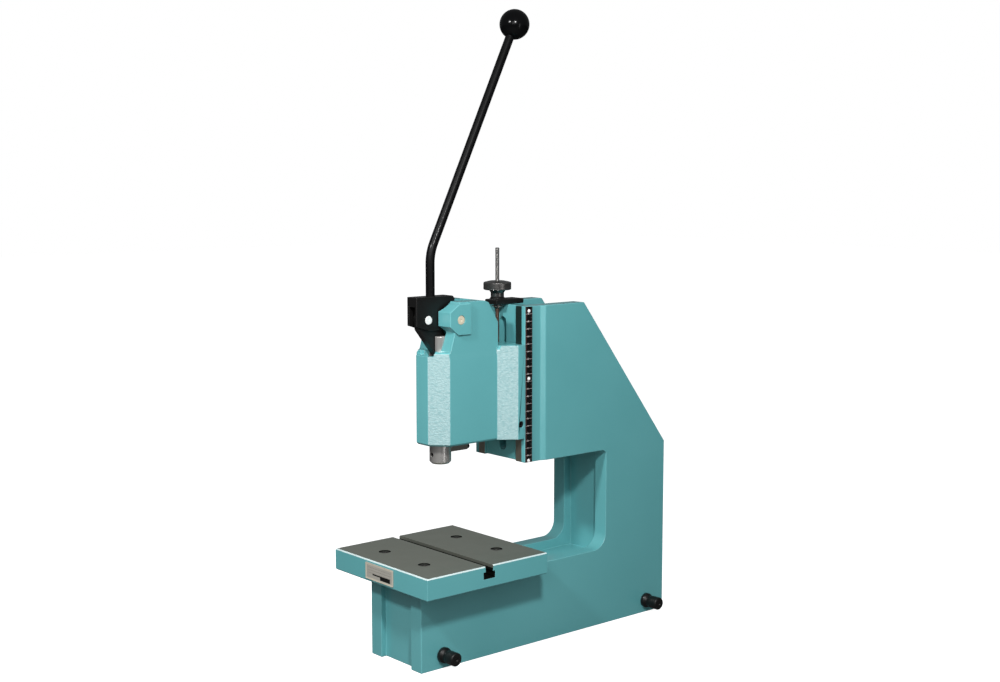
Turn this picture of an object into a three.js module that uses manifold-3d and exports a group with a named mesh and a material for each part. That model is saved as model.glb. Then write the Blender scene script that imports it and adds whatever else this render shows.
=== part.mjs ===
// Hand toggle press (knee-lever bench press): a C-frame with a height-adjustable head,
// a ram driven by a lever and toggle link, and a T-slotted table.
// Units are millimetres and +Z is up. The front of the press faces -Y.
// The origin lies under the ram, on the plane that the base stands on.
import * as THREE from 'three';
import { mergeVertices } from 'three/addons/utils/BufferGeometryUtils.js';
import Module from 'manifold-3d';

const wasm = await Module();
wasm.setup();

// ---------------------------------------------------------------- driving dimensions
const GAP = 0.3;                  // clearance left between pieces that touch
const SIDES = 28;                 // facets round an ordinary cylinder

const FRAME_HALF_WIDTH = 54;
const WALL_INNER = 32;            // inner face of each side wall
const WEB = 14;                   // thickness of the web that joins the walls
const BASE_FRONT = -75;
const BASE_TOP = 109;
const FRAME_REAR = 371;
const KNEE_Z = 249;
const SHOULDER_Y = 208.5;         // where the back slope meets the arm's top
const ARM_TOP = 460;
const ARM_BOTTOM = 250;
const GUIDE_Y = 103;              // machined front face of the guide
const GUIDE_HALF_WIDTH = 51.2;
const GUIDE_RECESS = 5;
const THROAT_Y = 253;
const THROAT_RECESS = 13;
const THROAT_RADIUS = 22;
const SLOT_HALF_WIDTH = 7;        // clamp slot in the guide web
const SLOT_BOTTOM = 260.5;
const SLOT_TOP = 443;

const TABLE_HALF = 100;
const TABLE_THICKNESS = 29;
const TABLE_Z = BASE_TOP + GAP;
const TSLOT_NECK = 6;
const TSLOT_HEAD = 9.5;
const TABLE_SCREW_X = 42.5;
const TABLE_SCREW_Y = 60.7;
const TABLE_SCREW_HEAD = { radius: 7.5, height: 8, sunk: 1.2 };

const HEAD_BOTTOM = 283;
const NOSE_TOP = 406;
const FLANGE_TOP = 409;
const HOUSING_TOP = 470;
const HEAD_HALF_WIDTH = 34;
const HOUSING_HALF_WIDTH = 33;
const SHOULDER_FOOT = 396;        // where the side starts to lean in
const RIM = 2.5;                  // chamfer round the head's lower block
const LIP_BACK = -27.8;           // front lip below the lever slot: the hub swings over it
const LIP_TOP = 400.5;
const CHEEK_INNER = 11;
const EAR_OUTER = 36;
const HEAD_BACK = GUIDE_Y - GAP;

const PIVOT = { y: 7.5, z: 447 };           // lever pivot
const CRANK = 33;                           // pivot to link pin
const LINK = 50;                            // link pin to ram pin
const LINK_PIN = { y: PIVOT.y - CRANK, z: PIVOT.z };
const RAM_PIN = { y: 0, z: PIVOT.z - Math.sqrt(LINK ** 2 - LINK_PIN.y ** 2) };
const PIVOT_PIN_RADIUS = 5.9;
const LINK_PIN_RADIUS = 5.7;
const RAM_PIN_RADIUS = 4;
const OPEN_PIVOT_PLAY = { y: 3.1, z: 6.4 }; // how far the ram pin wanders in the link's lower eye
const PLAY = 1.4;                           // clearance round that path

const RAM_RADIUS = 14.4;
const RAM_BOTTOM = 256;
const RAM_TOP = 425;
const RAM_SLOT_FLOOR = 383;
const LINK_HALF_THICKNESS = 5.5;
const FORK_INNER = 6.2;
const HUB_HALF_THICKNESS = 10;

const GUIDE_ROD_Y = 31;           // anti-rotation rod behind the ram
const GUIDE_ROD_RADIUS = 4;
const ROD_ARM = { front: 10, rear: 38, bottom: 271, top: 279, halfWidth: 10.5 };
const ROD_ARM_SCREW = { x: 6.9, z: 275 };
const SPRING_FLOOR = 300;
const SPRING_TOP = 391.4;

const ROD_RADIUS = 5.9;
const ROD_Y = -15.4;
const ROD_BOTTOM = 466.5;
const ROD_BEND_Z = 533;
const BALL = { y: 128.6, z: 831, radius: 20 };

const SPINDLE_Y = 98.5;
const SPINDLE_RADIUS = 2.9;
const SPINDLE_BOTTOM = 388;
const SPINDLE_TOP = 536;
const BRACKET_TOP = 467;
const BRACKET_BOSS_TOP = 470;
const WHEEL_RADIUS = 18.8;

const BRACKET_SCREW_X = 6.2;
const BRACKET_SCREW_Y = GUIDE_Y + GUIDE_RECESS + WEB / 2;

const SCALE_SCREW_Y = GUIDE_Y + 5.5;
const SCALE_SCREW_Z = [253, 363.6, 454];
const CLAMP_STUD_Z = [318, 378];
const STUD_Z = 18;                // side studs above the standing plane
const STUD_Y = { front: -39.5, rear: 335 };

// ---------------------------------------------------------------- finishes
function finish(color, roughness, metalness) {
  return new THREE.MeshStandardMaterial({ color, roughness, metalness });
}

const PAINT = finish(0x5a9b9e, 0.45, 0.0);
const STEEL = finish(0xa9a69d, 0.35, 0.9);
const GROUND_STEEL = finish(0xc9c7c0, 0.25, 1.0);
const BLACK_OXIDE = finish(0x1b1b1d, 0.5, 0.6);
const BLACK_PLASTIC = finish(0x0b0b0c, 0.2, 0.0);
const BRONZE = finish(0x9a7442, 0.4, 0.9);
const PLATE = finish(0xb9b2a0, 0.4, 0.6);

// ---------------------------------------------------------------- solids
// A closed geometry becomes a manifold-3d solid once its shared vertices are merged.
function solid(geometry) {
  const bare = geometry.clone();
  bare.deleteAttribute('normal');
  bare.deleteAttribute('uv');
  const merged = mergeVertices(bare, 1e-4);
  const vertProperties = new Float32Array(merged.attributes.position.array);
  const triVerts = new Uint32Array(merged.index.array);
  return new wasm.Manifold(new wasm.Mesh({ numProp: 3, vertProperties, triVerts }));
}

function geometryOf(manifold) {
  const mesh = manifold.getMesh();
  const geometry = new THREE.BufferGeometry();
  geometry.setAttribute('position', new THREE.BufferAttribute(mesh.vertProperties, 3));
  geometry.setIndex(new THREE.BufferAttribute(mesh.triVerts, 1));
  geometry.computeVertexNormals();
  return geometry;
}

function box(x0, x1, y0, y1, z0, z1) {
  const geometry = new THREE.BoxGeometry(x1 - x0, y1 - y0, z1 - z0);
  geometry.translate((x0 + x1) / 2, (y0 + y1) / 2, (z0 + z1) / 2);
  return solid(geometry);
}

function cylinderX(x0, x1, y, z, radius, sides = SIDES) {
  const geometry = new THREE.CylinderGeometry(radius, radius, x1 - x0, sides);
  geometry.rotateZ(Math.PI / 2);
  geometry.translate((x0 + x1) / 2, y, z);
  return solid(geometry);
}

function cylinderY(y0, y1, x, z, radius, sides = SIDES) {
  const geometry = new THREE.CylinderGeometry(radius, radius, y1 - y0, sides);
  geometry.translate(x, (y0 + y1) / 2, z);
  return solid(geometry);
}

function cylinderZ(z0, z1, x, y, radius, sides = SIDES) {
  const geometry = new THREE.CylinderGeometry(radius, radius, z1 - z0, sides);
  geometry.rotateX(Math.PI / 2);
  geometry.translate(x, y, (z0 + z1) / 2);
  return solid(geometry);
}

// A profile turned about the Z axis, given as [radius, z] pairs from the bottom up.
function turned(profile, x, y, sides = SIDES) {
  const points = profile.map(([radius, z]) => new THREE.Vector2(radius, z));
  const geometry = new THREE.LatheGeometry(points, sides);
  geometry.rotateX(Math.PI / 2);
  geometry.translate(x, y, 0);
  return solid(geometry);
}

// A side outline, drawn in (y, z), made into a plate between x0 and x1.
function sidePlate(shape, x0, x1, curveSegments = 8) {
  const geometry = new THREE.ExtrudeGeometry(shape, { depth: x1 - x0, bevelEnabled: false, curveSegments });
  geometry.rotateY(Math.PI / 2);
  geometry.rotateX(Math.PI / 2);
  geometry.translate(x0, 0, 0);
  return solid(geometry);
}

// A plan outline, drawn in (x, y), made into a block between z0 and z1 with chamfered rims.
function planBlock(points, z0, z1, chamfer = 0) {
  const shape = new THREE.Shape(points.map(([x, y]) => new THREE.Vector2(x, y)));
  const bevel = { bevelSize: chamfer, bevelThickness: chamfer, bevelOffset: -chamfer, bevelSegments: 1 };
  const depth = z1 - z0 - 2 * chamfer;
  const geometry = new THREE.ExtrudeGeometry(shape, { depth, bevelEnabled: chamfer > 0, ...bevel });
  geometry.translate(0, 0, z0 + chamfer);
  return solid(geometry);
}

function outline(points) {
  return new THREE.Shape(points.map(([y, z]) => new THREE.Vector2(y, z)));
}

function mirroredX(manifold) {
  return manifold.add(manifold.mirror([1, 0, 0]));
}

function hexNut(y0, y1, x, z, acrossFlats, bore) {
  const corner = acrossFlats / Math.sqrt(3);
  return cylinderY(y0, y1, x, z, corner, 6).subtract(cylinderY(y0 - 1, y1 + 1, x, z, bore));
}

// A socket-head screw standing along Z with its head's top at z and its shank below.
function socketScrew(x, y, z, headRadius, headHeight, shankRadius, shankLength) {
  const head = cylinderZ(z - headHeight, z, x, y, headRadius, 20);
  const shank = cylinderZ(z - headHeight - shankLength, z - headHeight + 0.5, x, y, shankRadius, 16);
  const socket = cylinderZ(z - headHeight * 0.6, z + 1, x, y, headRadius * 0.5, 6);
  return head.add(shank).subtract(socket);
}

// ---------------------------------------------------------------- frame
function frameSideOutline() {
  const shape = new THREE.Shape();
  shape.moveTo(BASE_FRONT, 0);
  shape.lineTo(FRAME_REAR, 0);
  shape.lineTo(FRAME_REAR, KNEE_Z);
  shape.lineTo(SHOULDER_Y, ARM_TOP);
  shape.lineTo(GUIDE_Y, ARM_TOP);
  shape.lineTo(GUIDE_Y, ARM_BOTTOM);
  shape.lineTo(THROAT_Y - 7, ARM_BOTTOM);
  shape.absarc(THROAT_Y - 7, ARM_BOTTOM - 7, 7, Math.PI / 2, 0, true);
  shape.lineTo(THROAT_Y, BASE_TOP + THROAT_RADIUS);
  shape.absarc(THROAT_Y - THROAT_RADIUS, BASE_TOP + THROAT_RADIUS, THROAT_RADIUS, 0, -Math.PI / 2, true);
  shape.lineTo(BASE_FRONT, BASE_TOP);
  return shape;
}

// The web follows the inside of the C, set back from the edges of the side walls.
function frameWeb() {
  const baseFront = BASE_FRONT + 8;
  const baseTop = BASE_TOP - THROAT_RECESS;
  const throat = THROAT_Y + THROAT_RECESS;
  const guide = GUIDE_Y + GUIDE_RECESS;
  const half = WALL_INNER + 1;
  const bars = [
    [baseFront, baseFront + WEB, 0, baseTop],
    [baseFront, throat + WEB, baseTop - WEB, baseTop],
    [throat, throat + WEB, baseTop - WEB, ARM_BOTTOM + WEB],
    [guide, throat + WEB, ARM_BOTTOM, ARM_BOTTOM + WEB],
    [guide, guide + WEB, ARM_BOTTOM, ARM_TOP],
    [baseFront, FRAME_REAR, 0, WEB],
    [FRAME_REAR - WEB, FRAME_REAR, 0, 50],
    [FRAME_REAR - 40, FRAME_REAR - 26, KNEE_Z - 40, KNEE_Z + 6],
  ];
  return bars.map(([y0, y1, z0, z1]) => box(-half, half, y0, y1, z0, z1))
    .reduce((sum, bar) => sum.add(bar));
}

// The guide is machined narrower than the arm, with a bevel back to full width.
function guideSideCut() {
  const points = [
    [GUIDE_HALF_WIDTH, GUIDE_Y - 5], [FRAME_HALF_WIDTH + 5, GUIDE_Y - 5],
    [FRAME_HALF_WIDTH + 5, GUIDE_Y + 35], [FRAME_HALF_WIDTH, GUIDE_Y + 35],
    [GUIDE_HALF_WIDTH, GUIDE_Y + 27],
  ];
  return mirroredX(planBlock(points, ARM_BOTTOM - 5, ARM_TOP + 5));
}

function clampSlot() {
  const y0 = GUIDE_Y + GUIDE_RECESS - 5;
  const y1 = GUIDE_Y + GUIDE_RECESS + WEB + 5;
  const low = SLOT_BOTTOM + SLOT_HALF_WIDTH;
  const high = SLOT_TOP - SLOT_HALF_WIDTH;
  const middle = box(-SLOT_HALF_WIDTH, SLOT_HALF_WIDTH, y0, y1, low, high);
  const bottom = cylinderY(y0, y1, 0, low, SLOT_HALF_WIDTH, 24);
  const top = cylinderY(y0, y1, 0, high, SLOT_HALF_WIDTH, 24);
  return middle.add(bottom).add(top);
}

function frameHoles() {
  const holes = [];
  for (const x of [-TABLE_SCREW_X, TABLE_SCREW_X]) {
    for (const y of [-TABLE_SCREW_Y, TABLE_SCREW_Y]) {
      holes.push(cylinderZ(BASE_TOP - 22, BASE_TOP + 5, x, y, 4.2, 16));
    }
  }
  for (const x of [-20, 20]) {
    for (const y of [-35, 330]) {
      holes.push(cylinderZ(-5, WEB + 5, x, y, 5.5, 16));
    }
  }
  for (const x of [-BRACKET_SCREW_X, BRACKET_SCREW_X]) {
    holes.push(cylinderZ(ARM_TOP - 17, ARM_TOP + 5, x, BRACKET_SCREW_Y, 2.7, 12));
  }
  for (const y of Object.values(STUD_Y)) {
    holes.push(mirroredX(cylinderX(36, FRAME_HALF_WIDTH + 5, y, STUD_Z, 5, 16)));
  }
  return holes.reduce((sum, hole) => sum.add(hole));
}

function frameCasting() {
  const wall = sidePlate(frameSideOutline(), WALL_INNER, FRAME_HALF_WIDTH);
  const casting = mirroredX(wall).add(frameWeb()).subtract(guideSideCut());
  return casting.subtract(clampSlot()).subtract(frameHoles());
}

// A side stud: flange against the wall, a waist and a thicker outer end.
function sideStud(side, y) {
  const profile = [
    [0, 37], [4.7, 37], [4.7, 54.15], [10.3, 54.3], [10.3, 59], [7.6, 62],
    [7.6, 66], [8.9, 68], [8.9, 81], [7.9, 82], [0, 82],
  ];
  const points = profile.map(([radius, along]) => new THREE.Vector2(radius, along));
  const geometry = new THREE.LatheGeometry(points, 24);
  geometry.rotateZ(side > 0 ? -Math.PI / 2 : Math.PI / 2);
  geometry.translate(0, y, STUD_Z);
  return solid(geometry);
}

// ---------------------------------------------------------------- table
function tablePlate() {
  const corner = TABLE_HALF;
  const square = [[-corner, -corner], [corner, -corner], [corner, corner], [-corner, corner]];
  const top = TABLE_Z + TABLE_THICKNESS;
  const neck = box(-corner - 5, corner + 5, -TSLOT_NECK, TSLOT_NECK, top - 9, top + 5);
  const head = box(-corner - 5, corner + 5, -TSLOT_HEAD, TSLOT_HEAD, top - 17, top - 8);
  const { radius, height, sunk } = TABLE_SCREW_HEAD;
  let plate = planBlock(square, TABLE_Z, top, 1.5).subtract(neck).subtract(head);
  for (const x of [-TABLE_SCREW_X, TABLE_SCREW_X]) {
    for (const y of [-TABLE_SCREW_Y, TABLE_SCREW_Y]) {
      const counterbore = cylinderZ(top - sunk - height - GAP, top + 5, x, y, radius + 0.5);
      const clearance = cylinderZ(TABLE_Z - 5, top, x, y, 4.6, 20);
      plate = plate.subtract(counterbore).subtract(clearance);
    }
  }
  return plate;
}

function tableScrew(x, y) {
  const { radius, height, sunk } = TABLE_SCREW_HEAD;
  return socketScrew(x, y, TABLE_Z + TABLE_THICKNESS - sunk, radius, height, 3.9, 34);
}

function nameplate() {
  const y = -TABLE_HALF - GAP;
  return box(-30, 30, y - 0.8, y, TABLE_Z + 3.5, TABLE_Z + TABLE_THICKNESS - 3.5);
}

// ---------------------------------------------------------------- head
function headPlan(halfWidth) {
  return [
    [-12, -30], [12, -30], [halfWidth, -10], [halfWidth, 69], [GUIDE_HALF_WIDTH, 92],
    [GUIDE_HALF_WIDTH, HEAD_BACK], [-GUIDE_HALF_WIDTH, HEAD_BACK], [-GUIDE_HALF_WIDTH, 92],
    [-halfWidth, 69], [-halfWidth, -10],
  ];
}

function leverHousing() {
  const side = outline([
    [-10, NOSE_TOP - 4], [-8, NOSE_TOP + 1], [-2, 428], [1, 450], [3, 466], [8, HOUSING_TOP],
    [48, HOUSING_TOP], [56, 467], [72, 440], [72, FLANGE_TOP - 8], [-10, FLANGE_TOP - 12],
  ].reverse());
  return sidePlate(side, -HOUSING_HALF_WIDTH, HOUSING_HALF_WIDTH);
}

function pivotEars() {
  const side = outline([[-11, 439], [3, 427.5], [24, 427.5], [24, 467.5], [4, 467.5], [-11, 457.5]]);
  return mirroredX(sidePlate(side, CHEEK_INNER, EAR_OUTER));
}

// The lever slot is open to the front and top; its pocket gives the link room to swing.
function leverSlot() {
  const open = box(-CHEEK_INNER, CHEEK_INNER, LIP_BACK, 45, NOSE_TOP - 9.5, HOUSING_TOP + 5);
  const lowPocket = box(-CHEEK_INNER, CHEEK_INNER, -19, 19, 346, NOSE_TOP);
  const highPocket = box(-CHEEK_INNER, CHEEK_INNER, -24.6, 19, 379, NOSE_TOP);
  const notch = box(-18, 18, -35, -17, LIP_TOP, NOSE_TOP + 5);
  return open.add(lowPocket).add(highPocket).add(notch);
}

function ramBores() {
  const bore = cylinderZ(HEAD_BOTTOM - 5, HOUSING_TOP + 5, 0, 0, RAM_RADIUS + 0.6, 32);
  const low = cylinderZ(HEAD_BOTTOM - 5, HEAD_BOTTOM + 22, 0, 0, RAM_RADIUS + 4.8, 32);
  const high = cylinderZ(322, 347, 0, 0, RAM_RADIUS + 4.8, 32);
  const rodBore = cylinderZ(HEAD_BOTTOM - 5, SPRING_FLOOR, 0, GUIDE_ROD_Y, GUIDE_ROD_RADIUS + 0.4, 20);
  const springBore = cylinderZ(SPRING_FLOOR, NOSE_TOP, 0, GUIDE_ROD_Y, 8.2, 24);
  return bore.add(low).add(high).add(rodBore).add(springBore);
}

function headHoles() {
  const pivot = cylinderX(-60, 60, PIVOT.y, PIVOT.z, PIVOT_PIN_RADIUS + 0.3);
  const spindle = cylinderZ(SPINDLE_BOTTOM - 1.5, FLANGE_TOP + 5, 0, SPINDLE_Y, SPINDLE_RADIUS + 0.3, 16);
  const side = mirroredX(cylinderX(40, 60, 97, 303, 4.5, 20));
  const studs = CLAMP_STUD_Z.map((z) => cylinderY(84, 120, 0, z, 5.2, 16));
  return studs.reduce((sum, stud) => sum.add(stud), pivot.add(spindle).add(side));
}

// A wedge off each side: the head body narrows by a millimetre up to the lever housing.
function shoulderSlope() {
  const section = new THREE.Shape([
    new THREE.Vector2(HEAD_HALF_WIDTH, SHOULDER_FOOT),
    new THREE.Vector2(HEAD_HALF_WIDTH + 10, SHOULDER_FOOT),
    new THREE.Vector2(HEAD_HALF_WIDTH + 10, FLANGE_TOP + 3),
    new THREE.Vector2(HOUSING_HALF_WIDTH, FLANGE_TOP + 3),
    new THREE.Vector2(HOUSING_HALF_WIDTH, NOSE_TOP - RIM),
  ]);
  const geometry = new THREE.ExtrudeGeometry(section, { depth: 100, bevelEnabled: false });
  geometry.rotateX(Math.PI / 2);
  geometry.translate(0, 69, 0);
  return mirroredX(solid(geometry));
}

// The flange's front edge is cut back towards its top.
function flangeCorners() {
  const side = outline([[68, 396], [69, 396], [74, FLANGE_TOP + 1], [68, FLANGE_TOP + 1]]);
  return mirroredX(sidePlate(side, HOUSING_HALF_WIDTH, 60));
}

function headCasting() {
  const lower = planBlock(headPlan(HEAD_HALF_WIDTH), HEAD_BOTTOM, NOSE_TOP, RIM);
  const flange = planBlock(headPlan(HEAD_HALF_WIDTH).filter(([, y]) => y > 60), HEAD_BOTTOM, FLANGE_TOP);
  const tongue = box(-31, 31, 95, GUIDE_Y + GUIDE_RECESS - 2, HEAD_BOTTOM, FLANGE_TOP);
  const guideEnd = flange.subtract(flangeCorners()).add(tongue);
  const leverEnd = leverHousing().add(pivotEars());
  const body = lower.subtract(shoulderSlope()).add(guideEnd).add(leverEnd);
  return body.subtract(leverSlot()).subtract(ramBores()).subtract(headHoles());
}

function bush(z0, z1) {
  const sleeve = cylinderZ(z0, z1, 0, 0, RAM_RADIUS + 4.5, 32);
  return sleeve.subtract(cylinderZ(z0 - 1, z1 + 1, 0, 0, RAM_RADIUS + 0.3, 32));
}

function clampStud(z) {
  return cylinderY(86, 149, 0, z, 4.9, 16);
}

function clampPlate() {
  const y0 = GUIDE_Y + GUIDE_RECESS + WEB + GAP;
  const plate = box(-22, 22, y0, y0 + 10, CLAMP_STUD_Z[0] - 16, CLAMP_STUD_Z[1] + 16);
  const holes = CLAMP_STUD_Z.map((z) => cylinderY(y0 - 5, y0 + 15, 0, z, 5.3, 16));
  return holes.reduce((sum, hole) => sum.subtract(hole), plate);
}

function clampWasher(z) {
  const y0 = GUIDE_Y + GUIDE_RECESS + WEB + 10 + 2 * GAP;
  return cylinderY(y0, y0 + 2, 0, z, 10, 24).subtract(cylinderY(y0 - 1, y0 + 3, 0, z, 5.3, 16));
}

function clampNut(z) {
  const y0 = GUIDE_Y + GUIDE_RECESS + WEB + 12 + 3 * GAP;
  return hexNut(y0, y0 + 8, 0, z, 17, 5.2);
}

function sideClampScrew(side) {
  const screw = cylinderX(41, 50, 97, 303, 4.2, 16).subtract(cylinderX(46, 51, 97, 303, 2.1, 6));
  return side > 0 ? screw : screw.mirror([1, 0, 0]);
}

// ---------------------------------------------------------------- ram
function ramBar() {
  const bar = turned([
    [0, RAM_BOTTOM], [RAM_RADIUS - 3, RAM_BOTTOM], [RAM_RADIUS, RAM_BOTTOM + 3],
    [RAM_RADIUS, RAM_TOP - 0.6], [RAM_RADIUS - 0.6, RAM_TOP], [0, RAM_TOP],
  ], 0, 0, 32);
  const fork = box(-FORK_INNER, FORK_INNER, -20, 20, RAM_SLOT_FLOOR, RAM_TOP + 5);
  const toolBore = cylinderZ(RAM_BOTTOM - 5, RAM_BOTTOM + 26, 0, 0, 5, 24);
  const screwHole = cylinderY(-20, 0, 0, RAM_BOTTOM + 12.5, 3.2, 16);
  const pinHole = cylinderX(-20, 20, RAM_PIN.y, RAM_PIN.z, RAM_PIN_RADIUS + 0.25, 20);
  const seat = box(-20, 20, ROD_ARM.front - GAP, 20, ROD_ARM.bottom - GAP, ROD_ARM.top + GAP);
  const armHole = cylinderY(3.5, 20, ROD_ARM_SCREW.x, ROD_ARM_SCREW.z, 2.2, 12);
  const milled = bar.subtract(fork).subtract(seat).subtract(armHole);
  return milled.subtract(toolBore).subtract(screwHole).subtract(pinHole);
}

function toolClampScrew() {
  const screw = cylinderY(-13, -5.4, 0, RAM_BOTTOM + 12.5, 2.9, 16);
  return screw.subtract(cylinderY(-14, -9, 0, RAM_BOTTOM + 12.5, 1.5, 6));
}

// The arm is screwed to a flat seat at the back of the ram. It carries the rod that keeps the
// ram from turning.
function antiRotationArm() {
  const { front, rear, bottom, top, halfWidth } = ROD_ARM;
  const plan = [[-halfWidth, front], [halfWidth, front], [halfWidth, rear], [-halfWidth, rear]];
  const arm = planBlock(plan, bottom, top, 0.8);
  const rodHole = cylinderZ(bottom - 1, top + 1, 0, GUIDE_ROD_Y, GUIDE_ROD_RADIUS + 0.3, 20);
  const screwHole = cylinderY(front - 1, rear + 1, ROD_ARM_SCREW.x, ROD_ARM_SCREW.z, 2.2, 12);
  return arm.subtract(rodHole).subtract(screwHole);
}

function antiRotationScrew() {
  const { x, z } = ROD_ARM_SCREW;
  const face = ROD_ARM.rear + GAP;
  const shank = cylinderY(4.5, face + 0.1, x, z, 1.9, 12);
  const head = cylinderY(face, face + 3.5, x, z, 3.3, 16);
  return shank.add(head).subtract(cylinderY(face + 1.7, face + 5, x, z, 1.5, 6));
}

function guideRod() {
  return turned([
    [0, 272], [GUIDE_ROD_RADIUS, 272], [GUIDE_ROD_RADIUS, SPRING_TOP + GAP],
    [7, SPRING_TOP + GAP], [7, SPRING_TOP + 6], [0, SPRING_TOP + 6],
  ], 0, GUIDE_ROD_Y, 20);
}

class Helix extends THREE.Curve {
  getPoint(t) {
    const turns = 13;
    const angle = 2 * Math.PI * turns * t;
    const z = SPRING_FLOOR + 1.3 + t * (SPRING_TOP - SPRING_FLOOR - 2.6);
    return new THREE.Vector3(5.8 * Math.cos(angle), GUIDE_ROD_Y + 5.8 * Math.sin(angle), z);
  }
}

function returnSpring() {
  const section = new THREE.Shape();
  section.absarc(0, 0, 1, 0, 2 * Math.PI);
  const options = { steps: 13 * 9, curveSegments: 2, bevelEnabled: false, extrudePath: new Helix() };
  return solid(new THREE.ExtrudeGeometry(section, options));
}

function pin(y, z, radius, halfLength) {
  return cylinderX(-halfLength, halfLength, y, z, radius, 24);
}

// ---------------------------------------------------------------- lever and toggle link
function leverHub() {
  const side = outline([
    [-45.3, 440], [-24, 433.2], [10, 433.2], [17, 440], [17, 474], [14, 477], [-45.3, 477],
  ]);
  const block = sidePlate(side, -HUB_HALF_THICKNESS, HUB_HALF_THICKNESS);
  const swing = cylinderX(-FORK_INNER, FORK_INNER, LINK_PIN.y, LINK_PIN.z, 17.6, 32);
  const mouth = outline([
    [-50, 425], [8, 425], [-1.5, 440], [-9.5, 453], [LINK_PIN.y, 464.6], [-50, 464.6],
  ]);
  const slot = swing.add(sidePlate(mouth, -FORK_INNER, FORK_INNER));
  const pivot = cylinderX(-20, 20, PIVOT.y, PIVOT.z, PIVOT_PIN_RADIUS + 0.3);
  const linkPin = cylinderX(-20, 20, LINK_PIN.y, LINK_PIN.z, LINK_PIN_RADIUS + 0.25);
  const rod = cylinderZ(ROD_BOTTOM - 0.5, 480, 0, ROD_Y, ROD_RADIUS + 0.3, 24);
  return block.subtract(slot).subtract(pivot).subtract(linkPin).subtract(rod);
}

function leverRod() {
  const start = new THREE.Vector3(0, ROD_Y, ROD_BOTTOM);
  const corner = new THREE.Vector3(0, ROD_Y, ROD_BEND_Z);
  const end = new THREE.Vector3(0, BALL.y, BALL.z);
  const direction = end.clone().sub(corner).normalize();
  const bendIn = corner.clone().add(new THREE.Vector3(0, 0, -14));
  const bendOut = corner.clone().addScaledVector(direction, 14);
  const path = new THREE.CurvePath();
  path.add(new THREE.LineCurve3(start, bendIn));
  path.add(new THREE.QuadraticBezierCurve3(bendIn, corner, bendOut));
  path.add(new THREE.LineCurve3(bendOut, end));
  const section = new THREE.Shape();
  section.absarc(0, 0, ROD_RADIUS, 0, 2 * Math.PI);
  const options = { steps: 24, curveSegments: 8, bevelEnabled: false, extrudePath: path };
  return solid(new THREE.ExtrudeGeometry(section, options));
}

function ballKnob() {
  const sphere = new THREE.SphereGeometry(BALL.radius, 24, 14);
  const knob = solid(sphere);
  const bore = new THREE.CylinderGeometry(ROD_RADIUS + 0.3, ROD_RADIUS + 0.3, 40, 24);
  bore.translate(0, -20 + GAP, 0);
  const tilt = Math.atan2(BALL.y - ROD_Y, BALL.z - ROD_BEND_Z);
  bore.rotateX(Math.PI / 2 - tilt);
  return knob.subtract(solid(bore)).translate([0, BALL.y, BALL.z]);
}

// Tangent hull of circles, as the outline of the link plate.
function toggleLink() {
  const half = LINK_HALF_THICKNESS;
  const wander = { y: RAM_PIN.y + OPEN_PIVOT_PLAY.y, z: RAM_PIN.z + OPEN_PIVOT_PLAY.z };
  const discs = [
    cylinderX(-half, half, LINK_PIN.y, LINK_PIN.z, 13.5, 32),
    cylinderX(-half, half, RAM_PIN.y, RAM_PIN.z, 10.5, 28),
    cylinderX(-half, half, wander.y, wander.z, 10.5, 28),
    cylinderX(-half, half, -33.5, 436, 4, 12),
  ];
  const plate = wasm.Manifold.hull(discs);
  const eye = cylinderX(-10, 10, LINK_PIN.y, LINK_PIN.z, LINK_PIN_RADIUS + 0.3, 24);
  const playEye = wasm.Manifold.hull([
    cylinderX(-10, 10, RAM_PIN.y, RAM_PIN.z, RAM_PIN_RADIUS + PLAY, 24),
    cylinderX(-10, 10, wander.y, wander.z, RAM_PIN_RADIUS + PLAY, 24),
  ]);
  return plate.subtract(eye).subtract(playEye);
}

// ---------------------------------------------------------------- height adjustment
function spindleBracket() {
  const bar = planBlock([[-12, 87], [12, 87], [12, 135], [-12, 135]], ARM_TOP + GAP, BRACKET_TOP, 0.8);
  const boss = turned([[0, ARM_TOP + GAP], [11.6, ARM_TOP + GAP], [11.6, 466], [9, BRACKET_BOSS_TOP],
    [0, BRACKET_BOSS_TOP]], 0, SPINDLE_Y);
  let bracket = bar.add(boss).subtract(cylinderZ(455, 475, 0, SPINDLE_Y, 5.3));
  for (const x of [-BRACKET_SCREW_X, BRACKET_SCREW_X]) {
    const clearance = cylinderZ(455, 475, x, BRACKET_SCREW_Y, 2.8, 12);
    const counterbore = cylinderZ(BRACKET_TOP - 3.6, BRACKET_TOP + 5, x, BRACKET_SCREW_Y, 4.5, 20);
    bracket = bracket.subtract(clearance).subtract(counterbore);
  }
  return bracket;
}

// The bracket's screws sit below its top, in counterbores.
function bracketScrew(x) {
  return socketScrew(x, BRACKET_SCREW_Y, BRACKET_TOP - 0.3, 4.2, 3, 2.4, 15);
}

function handwheel() {
  const body = turned([
    [0, 455], [5, 455], [5, BRACKET_BOSS_TOP + GAP], [9, BRACKET_BOSS_TOP + GAP], [9, 476], [11, 479],
    [WHEEL_RADIUS - 1, 479.5], [WHEEL_RADIUS, 480.5], [WHEEL_RADIUS, 489], [WHEEL_RADIUS - 1, 490],
    [10, 491.7], [0, 491.7],
  ], 0, SPINDLE_Y, 36);
  const core = cylinderZ(456, 459, 0, SPINDLE_Y, 4.1, 24);
  const groove = cylinderZ(456.9, 458.4, 0, SPINDLE_Y, 10, 24).subtract(core);
  const bore = cylinderZ(450, 500, 0, SPINDLE_Y, SPINDLE_RADIUS + 0.3, 16);
  return body.subtract(groove).subtract(bore);
}

function retainingRing() {
  const ring = cylinderZ(457.1, 458.2, 0, SPINDLE_Y, 7.4, 24);
  return ring.subtract(cylinderZ(456, 460, 0, SPINDLE_Y, 4.4, 24));
}

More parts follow.
